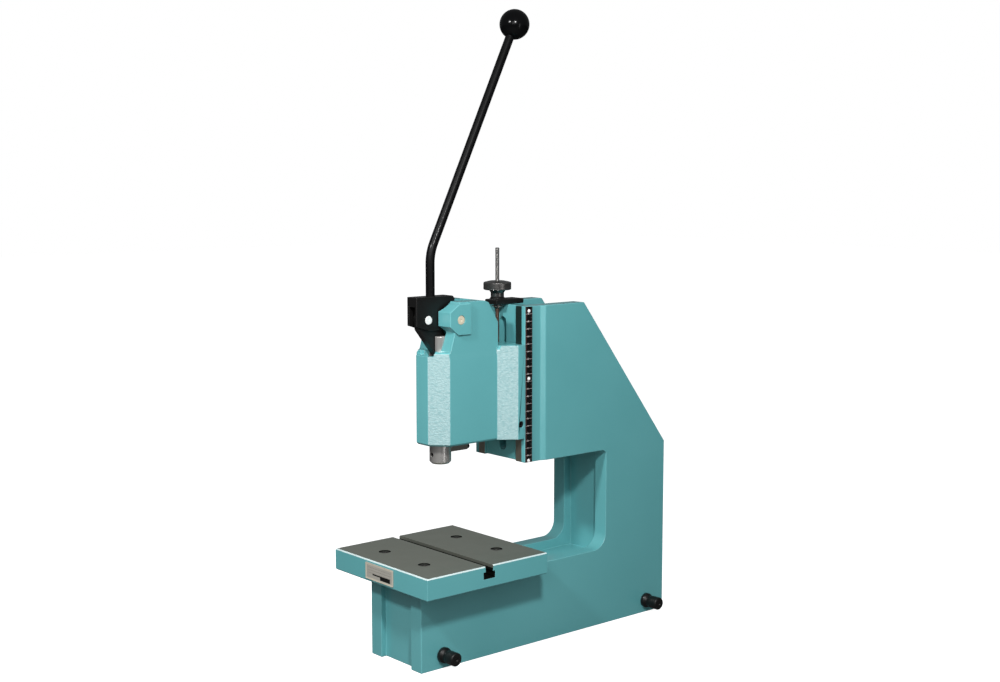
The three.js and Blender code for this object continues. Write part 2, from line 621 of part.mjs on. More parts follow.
function spindle() {
  return turned([
    [0, SPINDLE_BOTTOM], [SPINDLE_RADIUS, SPINDLE_BOTTOM], [SPINDLE_RADIUS, SPINDLE_TOP - 1],
    [SPINDLE_RADIUS - 1, SPINDLE_TOP], [0, SPINDLE_TOP],
  ], 0, SPINDLE_Y, 16);
}

function scaleStrip() {
  const x0 = GUIDE_HALF_WIDTH + GAP;
  let strip = box(x0, x0 + 1, GUIDE_Y + 0.4, GUIDE_Y + 12, ARM_BOTTOM + 0.5, ARM_TOP - 0.5);
  for (const z of SCALE_SCREW_Z) {
    strip = strip.subtract(cylinderX(x0 - 5, x0 + 5, SCALE_SCREW_Y, z, 1.6, 12));
  }
  return strip;
}

function scaleScrew(z) {
  const x0 = GUIDE_HALF_WIDTH + GAP + 0.1;
  const profile = [[0, x0], [1.3, x0], [1.3, x0 + 1.1], [2.4, x0 + 1.1], [1.8, x0 + 2], [0, x0 + 2.2]];
  const points = profile.map(([radius, along]) => new THREE.Vector2(radius, along));
  const geometry = new THREE.LatheGeometry(points, 14);
  geometry.rotateZ(-Math.PI / 2);
  geometry.translate(0, SCALE_SCREW_Y, z);
  return solid(geometry);
}

// ---------------------------------------------------------------- assembly
const press = new THREE.Group();

function add(name, manifold, material) {
  const mesh = new THREE.Mesh(geometryOf(manifold), material);
  mesh.name = name;
  press.add(mesh);
}

add('frame_casting', frameCasting(), PAINT);
for (const [end, y] of Object.entries(STUD_Y)) {
  add(`side_stud_${end}_right`, sideStud(1, y), BLACK_OXIDE);
  add(`side_stud_${end}_left`, sideStud(-1, y), BLACK_OXIDE);
}
add('table_plate', tablePlate(), PAINT);
for (const [endName, y] of [['front', -TABLE_SCREW_Y], ['rear', TABLE_SCREW_Y]]) {
  for (const [sideName, x] of [['left', -TABLE_SCREW_X], ['right', TABLE_SCREW_X]]) {
    add(`table_screw_${endName}_${sideName}`, tableScrew(x, y), BLACK_OXIDE);
  }
}
add('nameplate_blank', nameplate(), PLATE);
add('depth_scale_strip', scaleStrip(), BLACK_PLASTIC);
SCALE_SCREW_Z.forEach((z, index) => add(`scale_screw_${index + 1}`, scaleScrew(z), GROUND_STEEL));

add('head_casting', headCasting(), PAINT);
add('ram_bush_lower', bush(HEAD_BOTTOM + 1, HEAD_BOTTOM + 21.5), BRONZE);
add('ram_bush_upper', bush(322.5, 345.5), BRONZE);
add('lever_pivot_pin', pin(PIVOT.y, PIVOT.z, PIVOT_PIN_RADIUS, EAR_OUTER - 0.4), PLATE);
add('side_clamp_screw_right', sideClampScrew(1), BLACK_OXIDE);
add('side_clamp_screw_left', sideClampScrew(-1), BLACK_OXIDE);
CLAMP_STUD_Z.forEach((z, index) => {
  add(`head_clamp_stud_${index + 1}`, clampStud(z), STEEL);
  add(`head_clamp_washer_${index + 1}`, clampWasher(z), STEEL);
  add(`head_clamp_nut_${index + 1}`, clampNut(z), BLACK_OXIDE);
});
add('head_clamp_plate', clampPlate(), STEEL);
add('return_spring', returnSpring(), STEEL);
add('lift_spindle', spindle(), STEEL);

add('spindle_bracket', spindleBracket(), BLACK_OXIDE);
add('bracket_screw_left', bracketScrew(-BRACKET_SCREW_X), BLACK_OXIDE);
add('bracket_screw_right', bracketScrew(BRACKET_SCREW_X), BLACK_OXIDE);
add('lift_handwheel', handwheel(), BLACK_OXIDE);
add('handwheel_retaining_ring', retainingRing(), STEEL);

add('ram', ramBar(), GROUND_STEEL);
add('ram_pin', pin(RAM_PIN.y, RAM_PIN.z, RAM_PIN_RADIUS, 13), STEEL);
add('tool_clamp_screw', toolClampScrew(), BLACK_OXIDE);
add('anti_rotation_arm', antiRotationArm(), STEEL);
add('anti_rotation_arm_screw', antiRotationScrew(), BLACK_OXIDE);
add('anti_rotation_rod', guideRod(), GROUND_STEEL);

add('lever_hub', leverHub(), BLACK_OXIDE);
add('link_pin', pin(LINK_PIN.y, LINK_PIN.z, LINK_PIN_RADIUS, HUB_HALF_THICKNESS - 0.2), GROUND_STEEL);
add('lever_rod', leverRod(), BLACK_PLASTIC);
add('ball_knob', ballKnob(), BLACK_PLASTIC);
add('toggle_link', toggleLink(), BLACK_OXIDE);

export default press;
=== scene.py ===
# %% [markdown]
# # A hand toggle press
#
# The press is a tall C-shaped frame with a square table at its foot and a head that slides on a
# guide. Pulling the ball-ended lever turns a hub, and a short link pushes the ram down.
#
# The working parts come from a fixed model: each one is already in its place and at its size.
# This script gives every part its final surface. Castings and blocks are copies of the fixed
# parts with rounded edges, and everything round is worked out again as a fine surface.

# %% Load the fixed parts
import math

import bmesh
import bpy
import numpy as np
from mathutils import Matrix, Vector


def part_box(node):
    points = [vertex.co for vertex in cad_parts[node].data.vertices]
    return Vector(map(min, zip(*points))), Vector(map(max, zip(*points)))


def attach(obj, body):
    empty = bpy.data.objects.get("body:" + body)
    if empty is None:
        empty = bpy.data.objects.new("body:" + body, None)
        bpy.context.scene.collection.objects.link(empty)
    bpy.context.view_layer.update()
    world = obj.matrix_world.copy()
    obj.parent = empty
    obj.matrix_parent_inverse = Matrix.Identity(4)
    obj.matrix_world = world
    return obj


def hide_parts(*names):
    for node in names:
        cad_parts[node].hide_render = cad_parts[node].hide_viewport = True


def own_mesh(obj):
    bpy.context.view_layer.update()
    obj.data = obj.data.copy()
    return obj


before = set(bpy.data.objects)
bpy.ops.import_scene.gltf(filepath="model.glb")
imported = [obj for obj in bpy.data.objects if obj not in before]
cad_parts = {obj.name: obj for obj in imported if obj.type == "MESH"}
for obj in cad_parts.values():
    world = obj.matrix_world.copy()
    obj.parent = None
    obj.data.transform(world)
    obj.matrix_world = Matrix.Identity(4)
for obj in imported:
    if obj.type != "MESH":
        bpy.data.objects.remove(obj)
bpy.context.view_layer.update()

MM = 0.001


def box_mm(node):
    """Lowest and highest corner of a fixed part, in millimetres."""
    low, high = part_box(node)
    return np.array(low) / MM, np.array(high) / MM


# %% [markdown]
# ## Camera
#
# The press is seen from its right front corner, a little from above, as a catalogue shows it.
# A camera can be aimed with a constraint, but a fixed place and a turn worked out from the
# viewing angles are easier to repeat, so the camera is set that way.

# %% Set the camera
VIEW_AZIMUTH = math.radians(49.44)
VIEW_ELEVATION = math.radians(6.67)

camera_data = bpy.data.cameras.new("camera")
camera_data.sensor_width = 36.0
camera_data.lens = 52.79
camera = bpy.data.objects.new("camera", camera_data)
bpy.context.scene.collection.objects.link(camera)
back = Vector((
    math.sin(VIEW_AZIMUTH) * math.cos(VIEW_ELEVATION),
    -math.cos(VIEW_AZIMUTH) * math.cos(VIEW_ELEVATION),
    math.sin(VIEW_ELEVATION),
))
camera.location = (1.4936, -1.1751, 0.6396)
camera.rotation_mode = "QUATERNION"
camera.rotation_quaternion = (-back).to_track_quat("-Z", "Y")
bpy.context.scene.camera = camera
print("camera at", tuple(camera.location), "lens", camera_data.lens, "mm")

# %% [markdown]
# ## Nodes
#
# Every finish below is built from shader nodes. Small helpers keep that readable: one adds
# a node and fills its sockets, whether with a number or with another node's output, and the
# others do arithmetic and mix. Paint colours are easier to think of as screen values from 0 to
# 255, so the last helper turns those into the linear values that a shader needs.

# %% Helpers for nodes
def node(tree, kind, sockets=None, **settings):
    """Adds a node. A socket's value is another node's output, which is linked, or a plain value."""
    made = tree.nodes.new("ShaderNode" + kind)
    for key, value in settings.items():
        setattr(made, key, value)
    for key, value in (sockets or {}).items():
        if isinstance(value, bpy.types.NodeSocket):
            tree.links.new(value, made.inputs[key])
        else:
            made.inputs[key].default_value = value
    return made


def maths(tree, operation, a, b=0.0, clamp=False):
    """One arithmetic step on one or two values."""
    return node(tree, "Math", {0: a, 1: b}, operation=operation, use_clamp=clamp).outputs[0]


def over(tree, value, limit):
    """1 where the value is greater than the limit, and 0 elsewhere."""
    return maths(tree, "GREATER_THAN", value, limit)


def under(tree, value, limit):
    """1 where the value is less than the limit, and 0 elsewhere."""
    return maths(tree, "LESS_THAN", value, limit)


def times(tree, a, b, clamp=False):
    return maths(tree, "MULTIPLY", a, b, clamp)


def minus(tree, a, b):
    return maths(tree, "SUBTRACT", a, b)


def larger(tree, a, b):
    return maths(tree, "MAXIMUM", a, b)


def mixed_colour(tree, share, a, b):
    """Colour a where share is 0 and colour b where it is 1."""
    return node(tree, "Mix", {0: share, 6: a, 7: b}, data_type="RGBA").outputs[2]


def mixed_value(tree, share, a, b):
    """Value a where share is 0 and value b where it is 1."""
    return node(tree, "Mix", {0: share, 2: a, 3: b}).outputs[0]


def screen(red, green, blue):
    """A screen colour as linear light: ((value + 0.055) / 1.055) to the power 2.4."""
    share = np.array([red, green, blue]) / 255
    return (*(((share + 0.055) / 1.055) ** 2.4).tolist(), 1.0)


print("a mid grey of 128 is", round(screen(128, 128, 128)[0], 3), "in linear light")

# %% [markdown]
# ## Floor and light
#
# A pale floor and a pale room keep the press itself in view. Two lamps at about 40 degrees of
# height light it: one stands off its right front corner and one in front. Each throws its own
# shadow of the table onto the base. A broad, weak lamp above the camera gives the front corners
# their shine, and a tall softbox at the right draws bright lines on the upright edges.
#
# The camera sees the room and the floor as nearly white, while the press is lit by a dimmer
# version of both. A white floor would light the press from below and wash out its shadows.

# %% Build the floor and set the lamps
def area_lamp(name, place, target, width, height, power):
    """A flat lamp at a place, in metres, pointing at a target."""
    data = bpy.data.lights.new(name, "AREA")
    data.shape = "RECTANGLE"
    data.size = width
    data.size_y = height
    data.energy = power
    lamp = bpy.data.objects.new(name, data)
    lamp.location = place
    lamp.rotation_mode = "QUATERNION"
    lamp.rotation_quaternion = (Vector(target) - Vector(place)).to_track_quat("-Z", "Y")
    bpy.context.scene.collection.objects.link(lamp)


area_lamp("right_lamp", (0.97, -0.52, 1.10), (0.05, 0.10, 0.20), 0.12, 0.12, 13.2)
area_lamp("front_lamp", (0.28, -1.10, 1.18), (0.0, 0.0, 0.25), 0.12, 0.12, 12.5)
area_lamp("shine_lamp", (1.45, -1.55, 1.10), (0.0, 0.1, 0.30), 0.8, 0.8, 6.5)
area_lamp("side_softbox", (1.75, 0.12, 0.45), (0.0, 0.12, 0.40), 0.28, 0.85, 2.4)


def seen_and_lit(tree, seen, lit):
    """One shader for what the camera sees directly and another for the light it gives."""
    straight = node(tree, "LightPath").outputs["Is Camera Ray"]
    return node(tree, "MixShader", {0: straight, 1: lit.outputs[0], 2: seen.outputs[0]}).outputs[0]


world = bpy.data.worlds.new("pale_room")
world.use_nodes = True
room = world.node_tree
room.nodes.clear()
seen_room = node(room, "Background", {"Color": (1.0, 1.0, 1.0, 1.0), "Strength": 1.0})
lit_room = node(room, "Background", {"Color": (0.93, 0.97, 1.0, 1.0), "Strength": 0.17})
node(room, "OutputWorld", {"Surface": seen_and_lit(room, seen_room, lit_room)})
bpy.context.scene.world = world

FLOOR_HALF = 9.0
FLOOR_DEPTH = 0.0006
floor_mesh = bpy.data.meshes.new("floor")
corner_signs = np.array([[-1, -1], [1, -1], [1, 1], [-1, 1]])
floor_corners = np.column_stack([corner_signs * FLOOR_HALF, np.full(4, -FLOOR_DEPTH)])
floor_mesh.from_pydata(floor_corners.tolist(), [], [(0, 1, 2, 3)])
floor = bpy.data.objects.new("floor", floor_mesh)
bpy.context.scene.collection.objects.link(floor)

floor_finish = bpy.data.materials.new("pale_floor")
floor_finish.use_nodes = True
tree = floor_finish.node_tree
tree.nodes.clear()
lift = node(tree, "Emission", {"Color": (1.0, 1.0, 1.0, 1.0), "Strength": 0.90})
pale = node(tree, "BsdfDiffuse", {"Color": (0.9, 0.9, 0.9, 1.0)})
seen_floor = node(tree, "AddShader", {0: pale.outputs[0], 1: lift.outputs[0]})
lit_floor = node(tree, "BsdfDiffuse", {"Color": (0.16, 0.16, 0.16, 1.0)})
node(tree, "OutputMaterial", {"Surface": seen_and_lit(tree, seen_floor, lit_floor)})
floor_mesh.materials.append(floor_finish)
bpy.context.scene.view_settings.view_transform = "Standard"

# %% [markdown]
# ## Shared surface effects
#
# Wear, grain and tool marks appear on many parts, so each is a node group that is built once
# and then placed in a material with its own values. A group puts out masks and heights; the
# shader itself stays in the material.

# %% Start a node group
def new_group(name, inputs, outputs):
    """A node group with float inputs, given as name and value, and float outputs."""
    tree = bpy.data.node_groups.new(name, "ShaderNodeTree")
    for label, value in inputs.items():
        socket = tree.interface.new_socket(label, in_out="INPUT", socket_type="NodeSocketFloat")
        socket.default_value = value
    for label in outputs:
        tree.interface.new_socket(label, in_out="OUTPUT", socket_type="NodeSocketFloat")
    given = tree.nodes.new("NodeGroupInput").outputs
    result = tree.nodes.new("NodeGroupOutput").inputs
    return tree, given, result


def use_group(tree, name, **values):
    """Places a node group in a material and returns its outputs."""
    placed = tree.nodes.new("ShaderNodeGroup")
    placed.node_tree = bpy.data.node_groups[name]
    for key, value in values.items():
        placed.inputs[key].default_value = value
    return placed.outputs


# %% [markdown]
# Edge wear and highlight: paint and black finishes rub thin where two faces meet, and on the
# enamel the same mask also paints a pale highlight along the edges. A Bevel node gives the
# direction that a rounded edge would face. Where it differs from the true face direction there
# is an edge, and noise breaks the line up so that it looks rubbed and not drawn.

# %% Edge wear and highlight group
tree, given, result = new_group("edge wear and highlight", {"Width": 0.0012, "Amount": 4.0}, ["Mask"])
soft_normal = node(tree, "Bevel", {"Radius": given["Width"]}, samples=4).outputs[0]
true_normal = node(tree, "NewGeometry").outputs["True Normal"]
agreement = node(tree, "VectorMath", {0: soft_normal, 1: true_normal}, operation="DOT_PRODUCT")
difference = minus(tree, 1.0, agreement.outputs["Value"])
place = node(tree, "TexCoord").outputs["Object"]
patches = node(tree, "TexNoise", {"Vector": place, "Scale": 160.0, "Detail": 5.0}).outputs["Fac"]
patchy = times(tree, times(tree, difference, given["Amount"]), patches, clamp=True)
tree.links.new(patchy, result["Mask"])
print("edge wear and highlight:", len(tree.nodes), "nodes")

# %% [markdown]
# Enamel skin: sprayed enamel has a faint orange-peel ripple about a millimetre across, and its
# shade drifts slowly over a large face. Both are noise, at two very different scales.

# %% Enamel skin group
tree, given, result = new_group("enamel skin", {"Ripple": 900.0, "Drift": 7.0}, ["Height", "Shade"])
place = node(tree, "TexCoord").outputs["Object"]
ripple = node(tree, "TexNoise", {"Vector": place, "Scale": given["Ripple"], "Detail": 2.0}).outputs["Fac"]
specks = node(tree, "TexNoise", {"Vector": place, "Scale": 260.0, "Detail": 4.0}).outputs["Fac"]
height = maths(tree, "ADD", times(tree, ripple, 0.6), times(tree, specks, 0.4))
tree.links.new(height, result["Height"])
drift = node(tree, "TexNoise", {"Vector": place, "Scale": given["Drift"], "Detail": 3.0}).outputs["Fac"]
tree.links.new(drift, result["Shade"])
print("enamel skin:", len(tree.nodes), "nodes")

# %% [markdown]
# Cast skin: the corner faces of the head keep the rough skin of the sand mould under the paint.
# It is made of dents a few millimetres across, about twice as wide as they are high, so cell
# noise that is pressed flat gives the dents and plain noise the finer grain between them.

# %% Cast skin group
tree, given, result = new_group("cast skin", {"Size": 330.0}, ["Height", "Shade"])
place = node(tree, "TexCoord").outputs["Object"]
bend = node(tree, "TexNoise", {"Vector": place, "Scale": 220.0, "Detail": 2.0}).outputs["Color"]
shift = node(tree, "VectorMath", {0: bend, "Scale": 0.006}, operation="SCALE").outputs[0]
moved = node(tree, "VectorMath", {0: place, 1: shift}, operation="ADD").outputs[0]
bent = node(tree, "VectorMath", {0: moved, 1: (0.8, 0.8, 1.9)}, operation="MULTIPLY").outputs[0]
cells = node(tree, "TexVoronoi", {"Vector": bent, "Scale": given["Size"]}, feature="SMOOTH_F1")
dents = cells.outputs["Distance"]
grain = node(tree, "TexNoise", {"Vector": place, "Scale": 520.0, "Detail": 5.0}).outputs["Fac"]
height = maths(tree, "ADD", times(tree, dents, 0.7), times(tree, grain, 0.5))
tree.links.new(height, result["Height"])
# Shade paints the dents lighter and darker in colour: painted light on the dents.
tree.links.new(times(tree, dents, 1.3, clamp=True), result["Shade"])
print("cast skin:", len(tree.nodes), "nodes")

# %% [markdown]
# Tool marks: grinding and milling leave fine lines in one direction. Noise that is stretched
# far along one axis looks like that. The three scales say how fine it is along X, Y, Z.

# %% Tool marks group
tree, given, result = new_group(
    "tool marks", {"Fine X": 60.0, "Fine Y": 4000.0, "Fine Z": 4000.0}, ["Height", "Shade"]
)
place = node(tree, "TexCoord").outputs["Object"]
fineness = {0: given["Fine X"], 1: given["Fine Y"], 2: given["Fine Z"]}
scales = node(tree, "CombineXYZ", fineness).outputs[0]
stretched = node(tree, "VectorMath", {0: place, 1: scales}, operation="MULTIPLY").outputs[0]
lines = node(tree, "TexNoise", {"Vector": stretched, "Scale": 1.0, "Detail": 3.0}).outputs["Fac"]
stains = node(tree, "TexNoise", {"Vector": place, "Scale": 34.0, "Detail": 5.0}).outputs["Fac"]
tree.links.new(lines, result["Height"])
shade = maths(tree, "ADD", times(tree, lines, 0.45), times(tree, stains, 0.55))
tree.links.new(shade, result["Shade"])
print("tool marks:", len(tree.nodes), "nodes")

# %% [markdown]
# ## Finishes
#
# A finish starts as an empty material with the place of each point and the way it faces, so
# that one finish can hold several surfaces: bare metal on a guide, paint beside it. Layers are
# laid over each other by masks, and every finish ends in one Principled shader.

# %% Start and finish a material
def new_finish(name):
    """An empty material, and a dictionary with X, Y, Z and the facing NX, NY, NZ of each point."""
    material = bpy.data.materials.new(name)
    material.use_nodes = True
    tree = material.node_tree
    tree.nodes.clear()
    coordinates = node(tree, "TexCoord")
    point = node(tree, "SeparateXYZ", {0: coordinates.outputs["Object"]}).outputs
    facing = node(tree, "SeparateXYZ", {0: coordinates.outputs["Normal"]}).outputs
    at = dict(zip(("X", "Y", "Z", "NX", "NY", "NZ"), (*point, *facing)))
    return material, tree, at


def between(tree, value, low, high):
    """1 where the value lies between two limits, and 0 elsewhere."""
    above = over(tree, value, low)
    below = under(tree, value, high)
    return times(tree, above, below)


def size_of(tree, value):
    return maths(tree, "ABSOLUTE", value)


def all_of(tree, *masks):
    """1 only where every mask is 1."""
    product = masks[0]
    for mask in masks[1:]:
        product = times(tree, product, mask)
    return product


def laid_over(tree, below, mask, above):
    """A surface (colour, roughness, metallic, height) with another laid over it by a mask."""
    return (
        mixed_colour(tree, mask, below[0], above[0]),
        *(mixed_value(tree, mask, b, a) for b, a in zip(below[1:], above[1:])),
    )


def shaded(tree, surface, bump, coat=0.0, coat_roughness=0.1, specular=0.5):
    """Ends a material: the surface drives one Principled shader, with its height as a bump."""
    colour, roughness, metallic, height = surface
    normal = node(tree, "Bump", {"Height": height, "Distance": bump, "Strength": 1.0}).outputs[0]
    shader = node(tree, "BsdfPrincipled", {
        "Base Color": colour, "Roughness": roughness, "Metallic": metallic, "Normal": normal,
        "Coat Weight": coat, "Coat Roughness": coat_roughness, "Specular IOR Level": specular,
    })
    node(tree, "OutputMaterial", {"Surface": shader.outputs[0]})


# %% [markdown]
# The turquoise enamel is the press's main colour. It is a satin paint: the shade drifts by a
# few per cent, the skin ripples, and the edges are painted paler, partly as rubbed paint and
# partly as a painted highlight.

# %% Turquoise enamel
ENAMEL = screen(106, 180, 184)
ENAMEL_DEEP = screen(92, 166, 170)
# The pale edge colour: partly rubbed paint, partly a painted highlight along the edges.
ENAMEL_RUBBED_AND_HIGHLIT = screen(176, 224, 226)


def enamel_surface(tree):
    """The enamel as a surface: colour, roughness, metallic and height."""
    skin = use_group(tree, "enamel skin")
    wear_and_highlight = use_group(tree, "edge wear and highlight", Width=0.0011, Amount=3.0)["Mask"]
    colour = mixed_colour(tree, skin["Shade"], ENAMEL_DEEP, ENAMEL)
    # The edges are painted paler here: rubbed paint and a painted highlight.
    colour = mixed_colour(tree, wear_and_highlight, colour, ENAMEL_RUBBED_AND_HIGHLIT)
    roughness = mixed_value(tree, skin["Shade"], 0.30, 0.42)
    return colour, roughness, 0.0, times(tree, skin["Height"], 0.2)


def fine(x, y, z):
    """How fine the tool marks are along X, Y and Z, as values for their group."""
    return {"Fine X": x, "Fine Y": y, "Fine Z": z}


def bare_steel(tree, dark, light, rough, metal=0.85, **fineness):
    """Machined steel with tool marks: colour between two screen shades, roughness varied a little."""
    marks = use_group(tree, "tool marks", **fineness)
    colour = mixed_colour(tree, marks["Shade"], screen(*dark), screen(*light))
    roughness = mixed_value(tree, marks["Shade"], rough + 0.08, rough - 0.06)
    return colour, roughness, metal, times(tree, marks["Height"], 0.25)


# %% [markdown]
# The frame is painted all over except for the front face of the guide. That face is scraped
# steel, because the head slides on it, but the paint still covers its outer edges. The mask
# picks the faces that look forward, stand at the guide's depth and lie above the throat. Above
# the head the steel is painted dark green-black, as painted shade and a painted dark
# reflection, laid over it by height.

# %% Frame finish
GUIDE_FACE_Y = 0.1034
HEAD_FLANGE_TOP = 0.409
frame_finish, tree, at = new_finish("turquoise_frame")
guide_mask = all_of(
    tree,
    over(tree, at["Z"], 0.2499),
    under(tree, at["Y"], GUIDE_FACE_Y),
    under(tree, at["NY"], -0.6),
    under(tree, size_of(tree, at["X"]), 0.0445),
)
guide_steel = bare_steel(
    tree, (142, 138, 126), (166, 161, 147), 0.28, **fine(900.0, 900.0, 50.0)
)
# Dark steel above the head: painted shade and a painted dark reflection.
upper_guide_painted_shade = bare_steel(tree, (20, 34, 32), (40, 54, 50), 0.3, metal=0.3)
above_head = over(tree, at["Z"], HEAD_FLANGE_TOP)
guide_steel = laid_over(tree, guide_steel, above_head, upper_guide_painted_shade)
frame_surface = laid_over(tree, enamel_surface(tree), guide_mask, guide_steel)
shaded(tree, frame_surface, 0.0004, coat=0.6, coat_roughness=0.14)

# %% [markdown]
# The head is painted too. Its four corner faces keep the rough cast skin, and they are painted
# paler and mottled: a painted sheen that stands in for the lamps' shine on the dents. The mask
# picks faces that point half to the side and half to the front.

# %% Head finish
head_finish, tree, at = new_finish("turquoise_head")
sheen_corner_mask = all_of(
    tree,
    over(tree, size_of(tree, at["NX"]), 0.5),
    under(tree, at["NY"], -0.5),
    under(tree, at["Z"], 0.4092),
)
cast = use_group(tree, "cast skin")
# Pale colours on the corner faces: a painted sheen standing in for the lamps' shine.
cast_colour_with_painted_sheen = mixed_colour(tree, cast["Shade"], screen(170, 198, 199), screen(138, 176, 179))
cast_skin_with_painted_sheen = (cast_colour_with_painted_sheen, 0.42, 0.0, cast["Height"])
head_surface = laid_over(tree, enamel_surface(tree), sheen_corner_mask, cast_skin_with_painted_sheen)
shaded(tree, head_surface, 0.0006, coat=0.4, coat_roughness=0.16)

# %% [markdown]
# The table's sides are painted, and its top is ground steel with a dark, oily sheen. The
# T-slot and the screw holes are painted near-black inside, as painted shade in the recesses,
# except for the slot's narrow neck, which is ground like the top. The chamfer round the top is
# painted almost white, as a painted highlight along the edge.

# %% Table finish
table_low, table_high = box_mm("table_plate")
TABLE_TOP = table_high[2] * MM
table_finish, tree, at = new_finish("table_paint_and_ground_top")
top_mask = all_of(
    tree, over(tree, at["Z"], TABLE_TOP - 0.0004), over(tree, at["NZ"], 0.9)
)
neck_mask = all_of(
    tree, over(tree, at["Z"], TABLE_TOP - 0.0041),
    under(tree, size_of(tree, at["Y"]), 0.0065),
)
ground_top = bare_steel(
    tree, (154, 158, 146), (180, 184, 172), 0.44, **fine(40.0, 2600.0, 400.0)
)
slot_mask = all_of(
    tree, under(tree, size_of(tree, at["Y"]), 0.0098),
    under(tree, size_of(tree, at["NX"]), 0.5),
    between(tree, at["Z"], 0.1205, TABLE_TOP - 0.004),
)
hole_mask = all_of(
    tree, under(tree, size_of(tree, at["X"]), 0.0975),
    between(tree, size_of(tree, at["Y"]), 0.0105, 0.0975),
    over(tree, at["Z"], 0.1105),
)
highlit_chamfer_mask = all_of(
    tree, between(tree, at["NZ"], 0.3, 0.95), over(tree, at["Z"], TABLE_TOP - 0.003),
    minus(tree, 1.0, hole_mask),
)
# Near-black inside the slot and the holes: painted shade in the recesses.
recess_painted_shade = bare_steel(tree, (22, 24, 22), (44, 46, 42), 0.5)
# Almost white on the top chamfer: a painted highlight along the edge.
chamfer_painted_highlight = bare_steel(tree, (206, 234, 234), (240, 250, 250), 0.35, metal=0.2)
table_surface = laid_over(tree, enamel_surface(tree), highlit_chamfer_mask, chamfer_painted_highlight)
table_surface = laid_over(tree, table_surface, larger(tree, slot_mask, hole_mask), recess_painted_shade)
table_surface = laid_over(tree, table_surface, larger(tree, top_mask, neck_mask), ground_top)
shaded(tree, table_surface, 0.0003, coat=0.1)

# %% [markdown]
# The hub, link, bracket, handwheel, studs and most screws are blackened steel. It is almost
# black, slightly mottled by the salts of the bath, and shows grey steel along its edges.

# %% Blackened steel
def blackened(name, dark, light, rough=0.42, rub=3.0, metal=0.4):
    """Blackened steel: a mottled near-black with edges rubbed to grey."""
    material, tree, _ = new_finish(name)
    marks = use_group(tree, "tool marks", **fine(500.0, 500.0, 500.0))
    wear_and_highlight = use_group(tree, "edge wear and highlight", Width=0.0006, Amount=rub)["Mask"]
    colour = mixed_colour(tree, marks["Shade"], screen(*dark), screen(*light))
    colour = mixed_colour(tree, wear_and_highlight, colour, screen(120, 120, 118))
    roughness = mixed_value(tree, marks["Shade"], rough + 0.08, rough - 0.08)
    shaded(tree, (colour, roughness, metal, marks["Height"]), 0.00008)
    return material


black_oxide = blackened("black_oxide_steel", (13, 13, 13), (27, 26, 25))
black_wheel = blackened(
    "black_oxide_wheel", (84, 83, 82), (128, 126, 124), rough=0.22, rub=4.0, metal=0.9
)
black_screw = blackened("black_oxide_screw", (44, 45, 42), (70, 70, 66))


# %% [markdown]
# Bare steels: the ram and the pins are ground bright, the clamp parts are plain, and the bushes
# are bronze. They share one recipe with different shades.

# %% Bare metals
def bare_metal(name, dark, light, rough, bump=0.00004, metal=0.85, **fineness):
    """A bare metal finish with tool marks and slightly brighter edges."""
    material, tree, at = new_finish(name)
    colour, roughness, metallic, height = bare_steel(tree, dark, light, rough, metal, **fineness)
    wear_and_highlight = use_group(tree, "edge wear and highlight", Width=0.0005, Amount=2.5)["Mask"]
    colour = mixed_colour(tree, wear_and_highlight, colour, screen(236, 234, 228))
    shaded(tree, (colour, roughness, metallic, height), bump)
    return material


ROUND_Z = fine(300.0, 300.0, 5000.0)
ROUND_X = fine(5000.0, 300.0, 300.0)
bright_steel = bare_metal("bright_ground_steel", (206, 203, 199), (224, 221, 217), 0.28, **ROUND_Z)
plain_steel = bare_metal("plain_turned_steel", (128, 124, 118), (172, 168, 160), 0.34, **ROUND_Z)
white_pin = bare_metal("polished_pin_steel", (240, 240, 238), (250, 250, 249), 0.3, metal=0.1, **ROUND_X)
straw_pin = bare_metal("straw_pin_steel", (218, 208, 180), (236, 226, 202), 0.34, metal=0.2, **ROUND_X)
bronze = bare_metal("bearing_bronze", (140, 104, 58), (178, 138, 84), 0.32, **ROUND_Z)
spring_steel = bare_metal("spring_steel", (104, 104, 108), (150, 150, 152), 0.3)

# %% [markdown]
# The spindle is plain steel above the handwheel. Below the bracket it is brown with old oil,
# which is a second surface laid over the first by height.

# %% Spindle finish
bracket_low, bracket_high = box_mm("spindle_bracket")
spindle_finish, tree, at = new_finish("oily_spindle_steel")
clean = bare_steel(tree, (120, 118, 116), (168, 166, 164), 0.34)
oily = bare_steel(tree, (88, 66, 56), (134, 108, 96), 0.4)
below_bracket = under(tree, at["Z"], bracket_low[2] * MM)
shaded(tree, laid_over(tree, clean, below_bracket, oily), 0.00003)

# %% [markdown]
# The lever rod is painted gloss black and the ball is moulded plastic. Both are black and
# shiny, so what shows is the reflection: a thin clear coat adds to it, and a slow ripple keeps
# the reflection from looking perfect.

# %% Gloss black and moulded plastic
def gloss_black(name, tint, rough, ripple):
    """A black body under a clear coat, with a slow ripple and faint handling marks."""
    material, tree, _ = new_finish(name)
    skin = use_group(tree, "enamel skin", Ripple=ripple, Drift=40.0)
    colour = mixed_colour(tree, skin["Shade"], screen(4, 4, 5), screen(*tint))
    roughness = mixed_value(tree, skin["Shade"], rough - 0.04, rough + 0.1)
    gloss = (colour, roughness, 0.0, skin["Height"])
    shaded(tree, gloss, 0.00003, coat=0.03, coat_roughness=0.05, specular=0.12)
    return material


lever_black = gloss_black("lever_gloss_black", (12, 12, 13), 0.38, 300.0)
knob_plastic = gloss_black("knob_plastic", (12, 12, 13), 0.14, 90.0)

# %% [markdown]
# The scale is a black strip with a pale line right across it each ten millimetres. Between
# those stand faint short ticks, one each millimetre and a longer one each five. Lines are made
# from the height: its remainder after division by the spacing is small only next to a line.
# The strip's edge nearest the guide stays brown.

# %% Scale finish
scale_low, scale_high = box_mm("depth_scale_strip")
scale_finish, tree, at = new_finish("black_scale_with_white_lines")


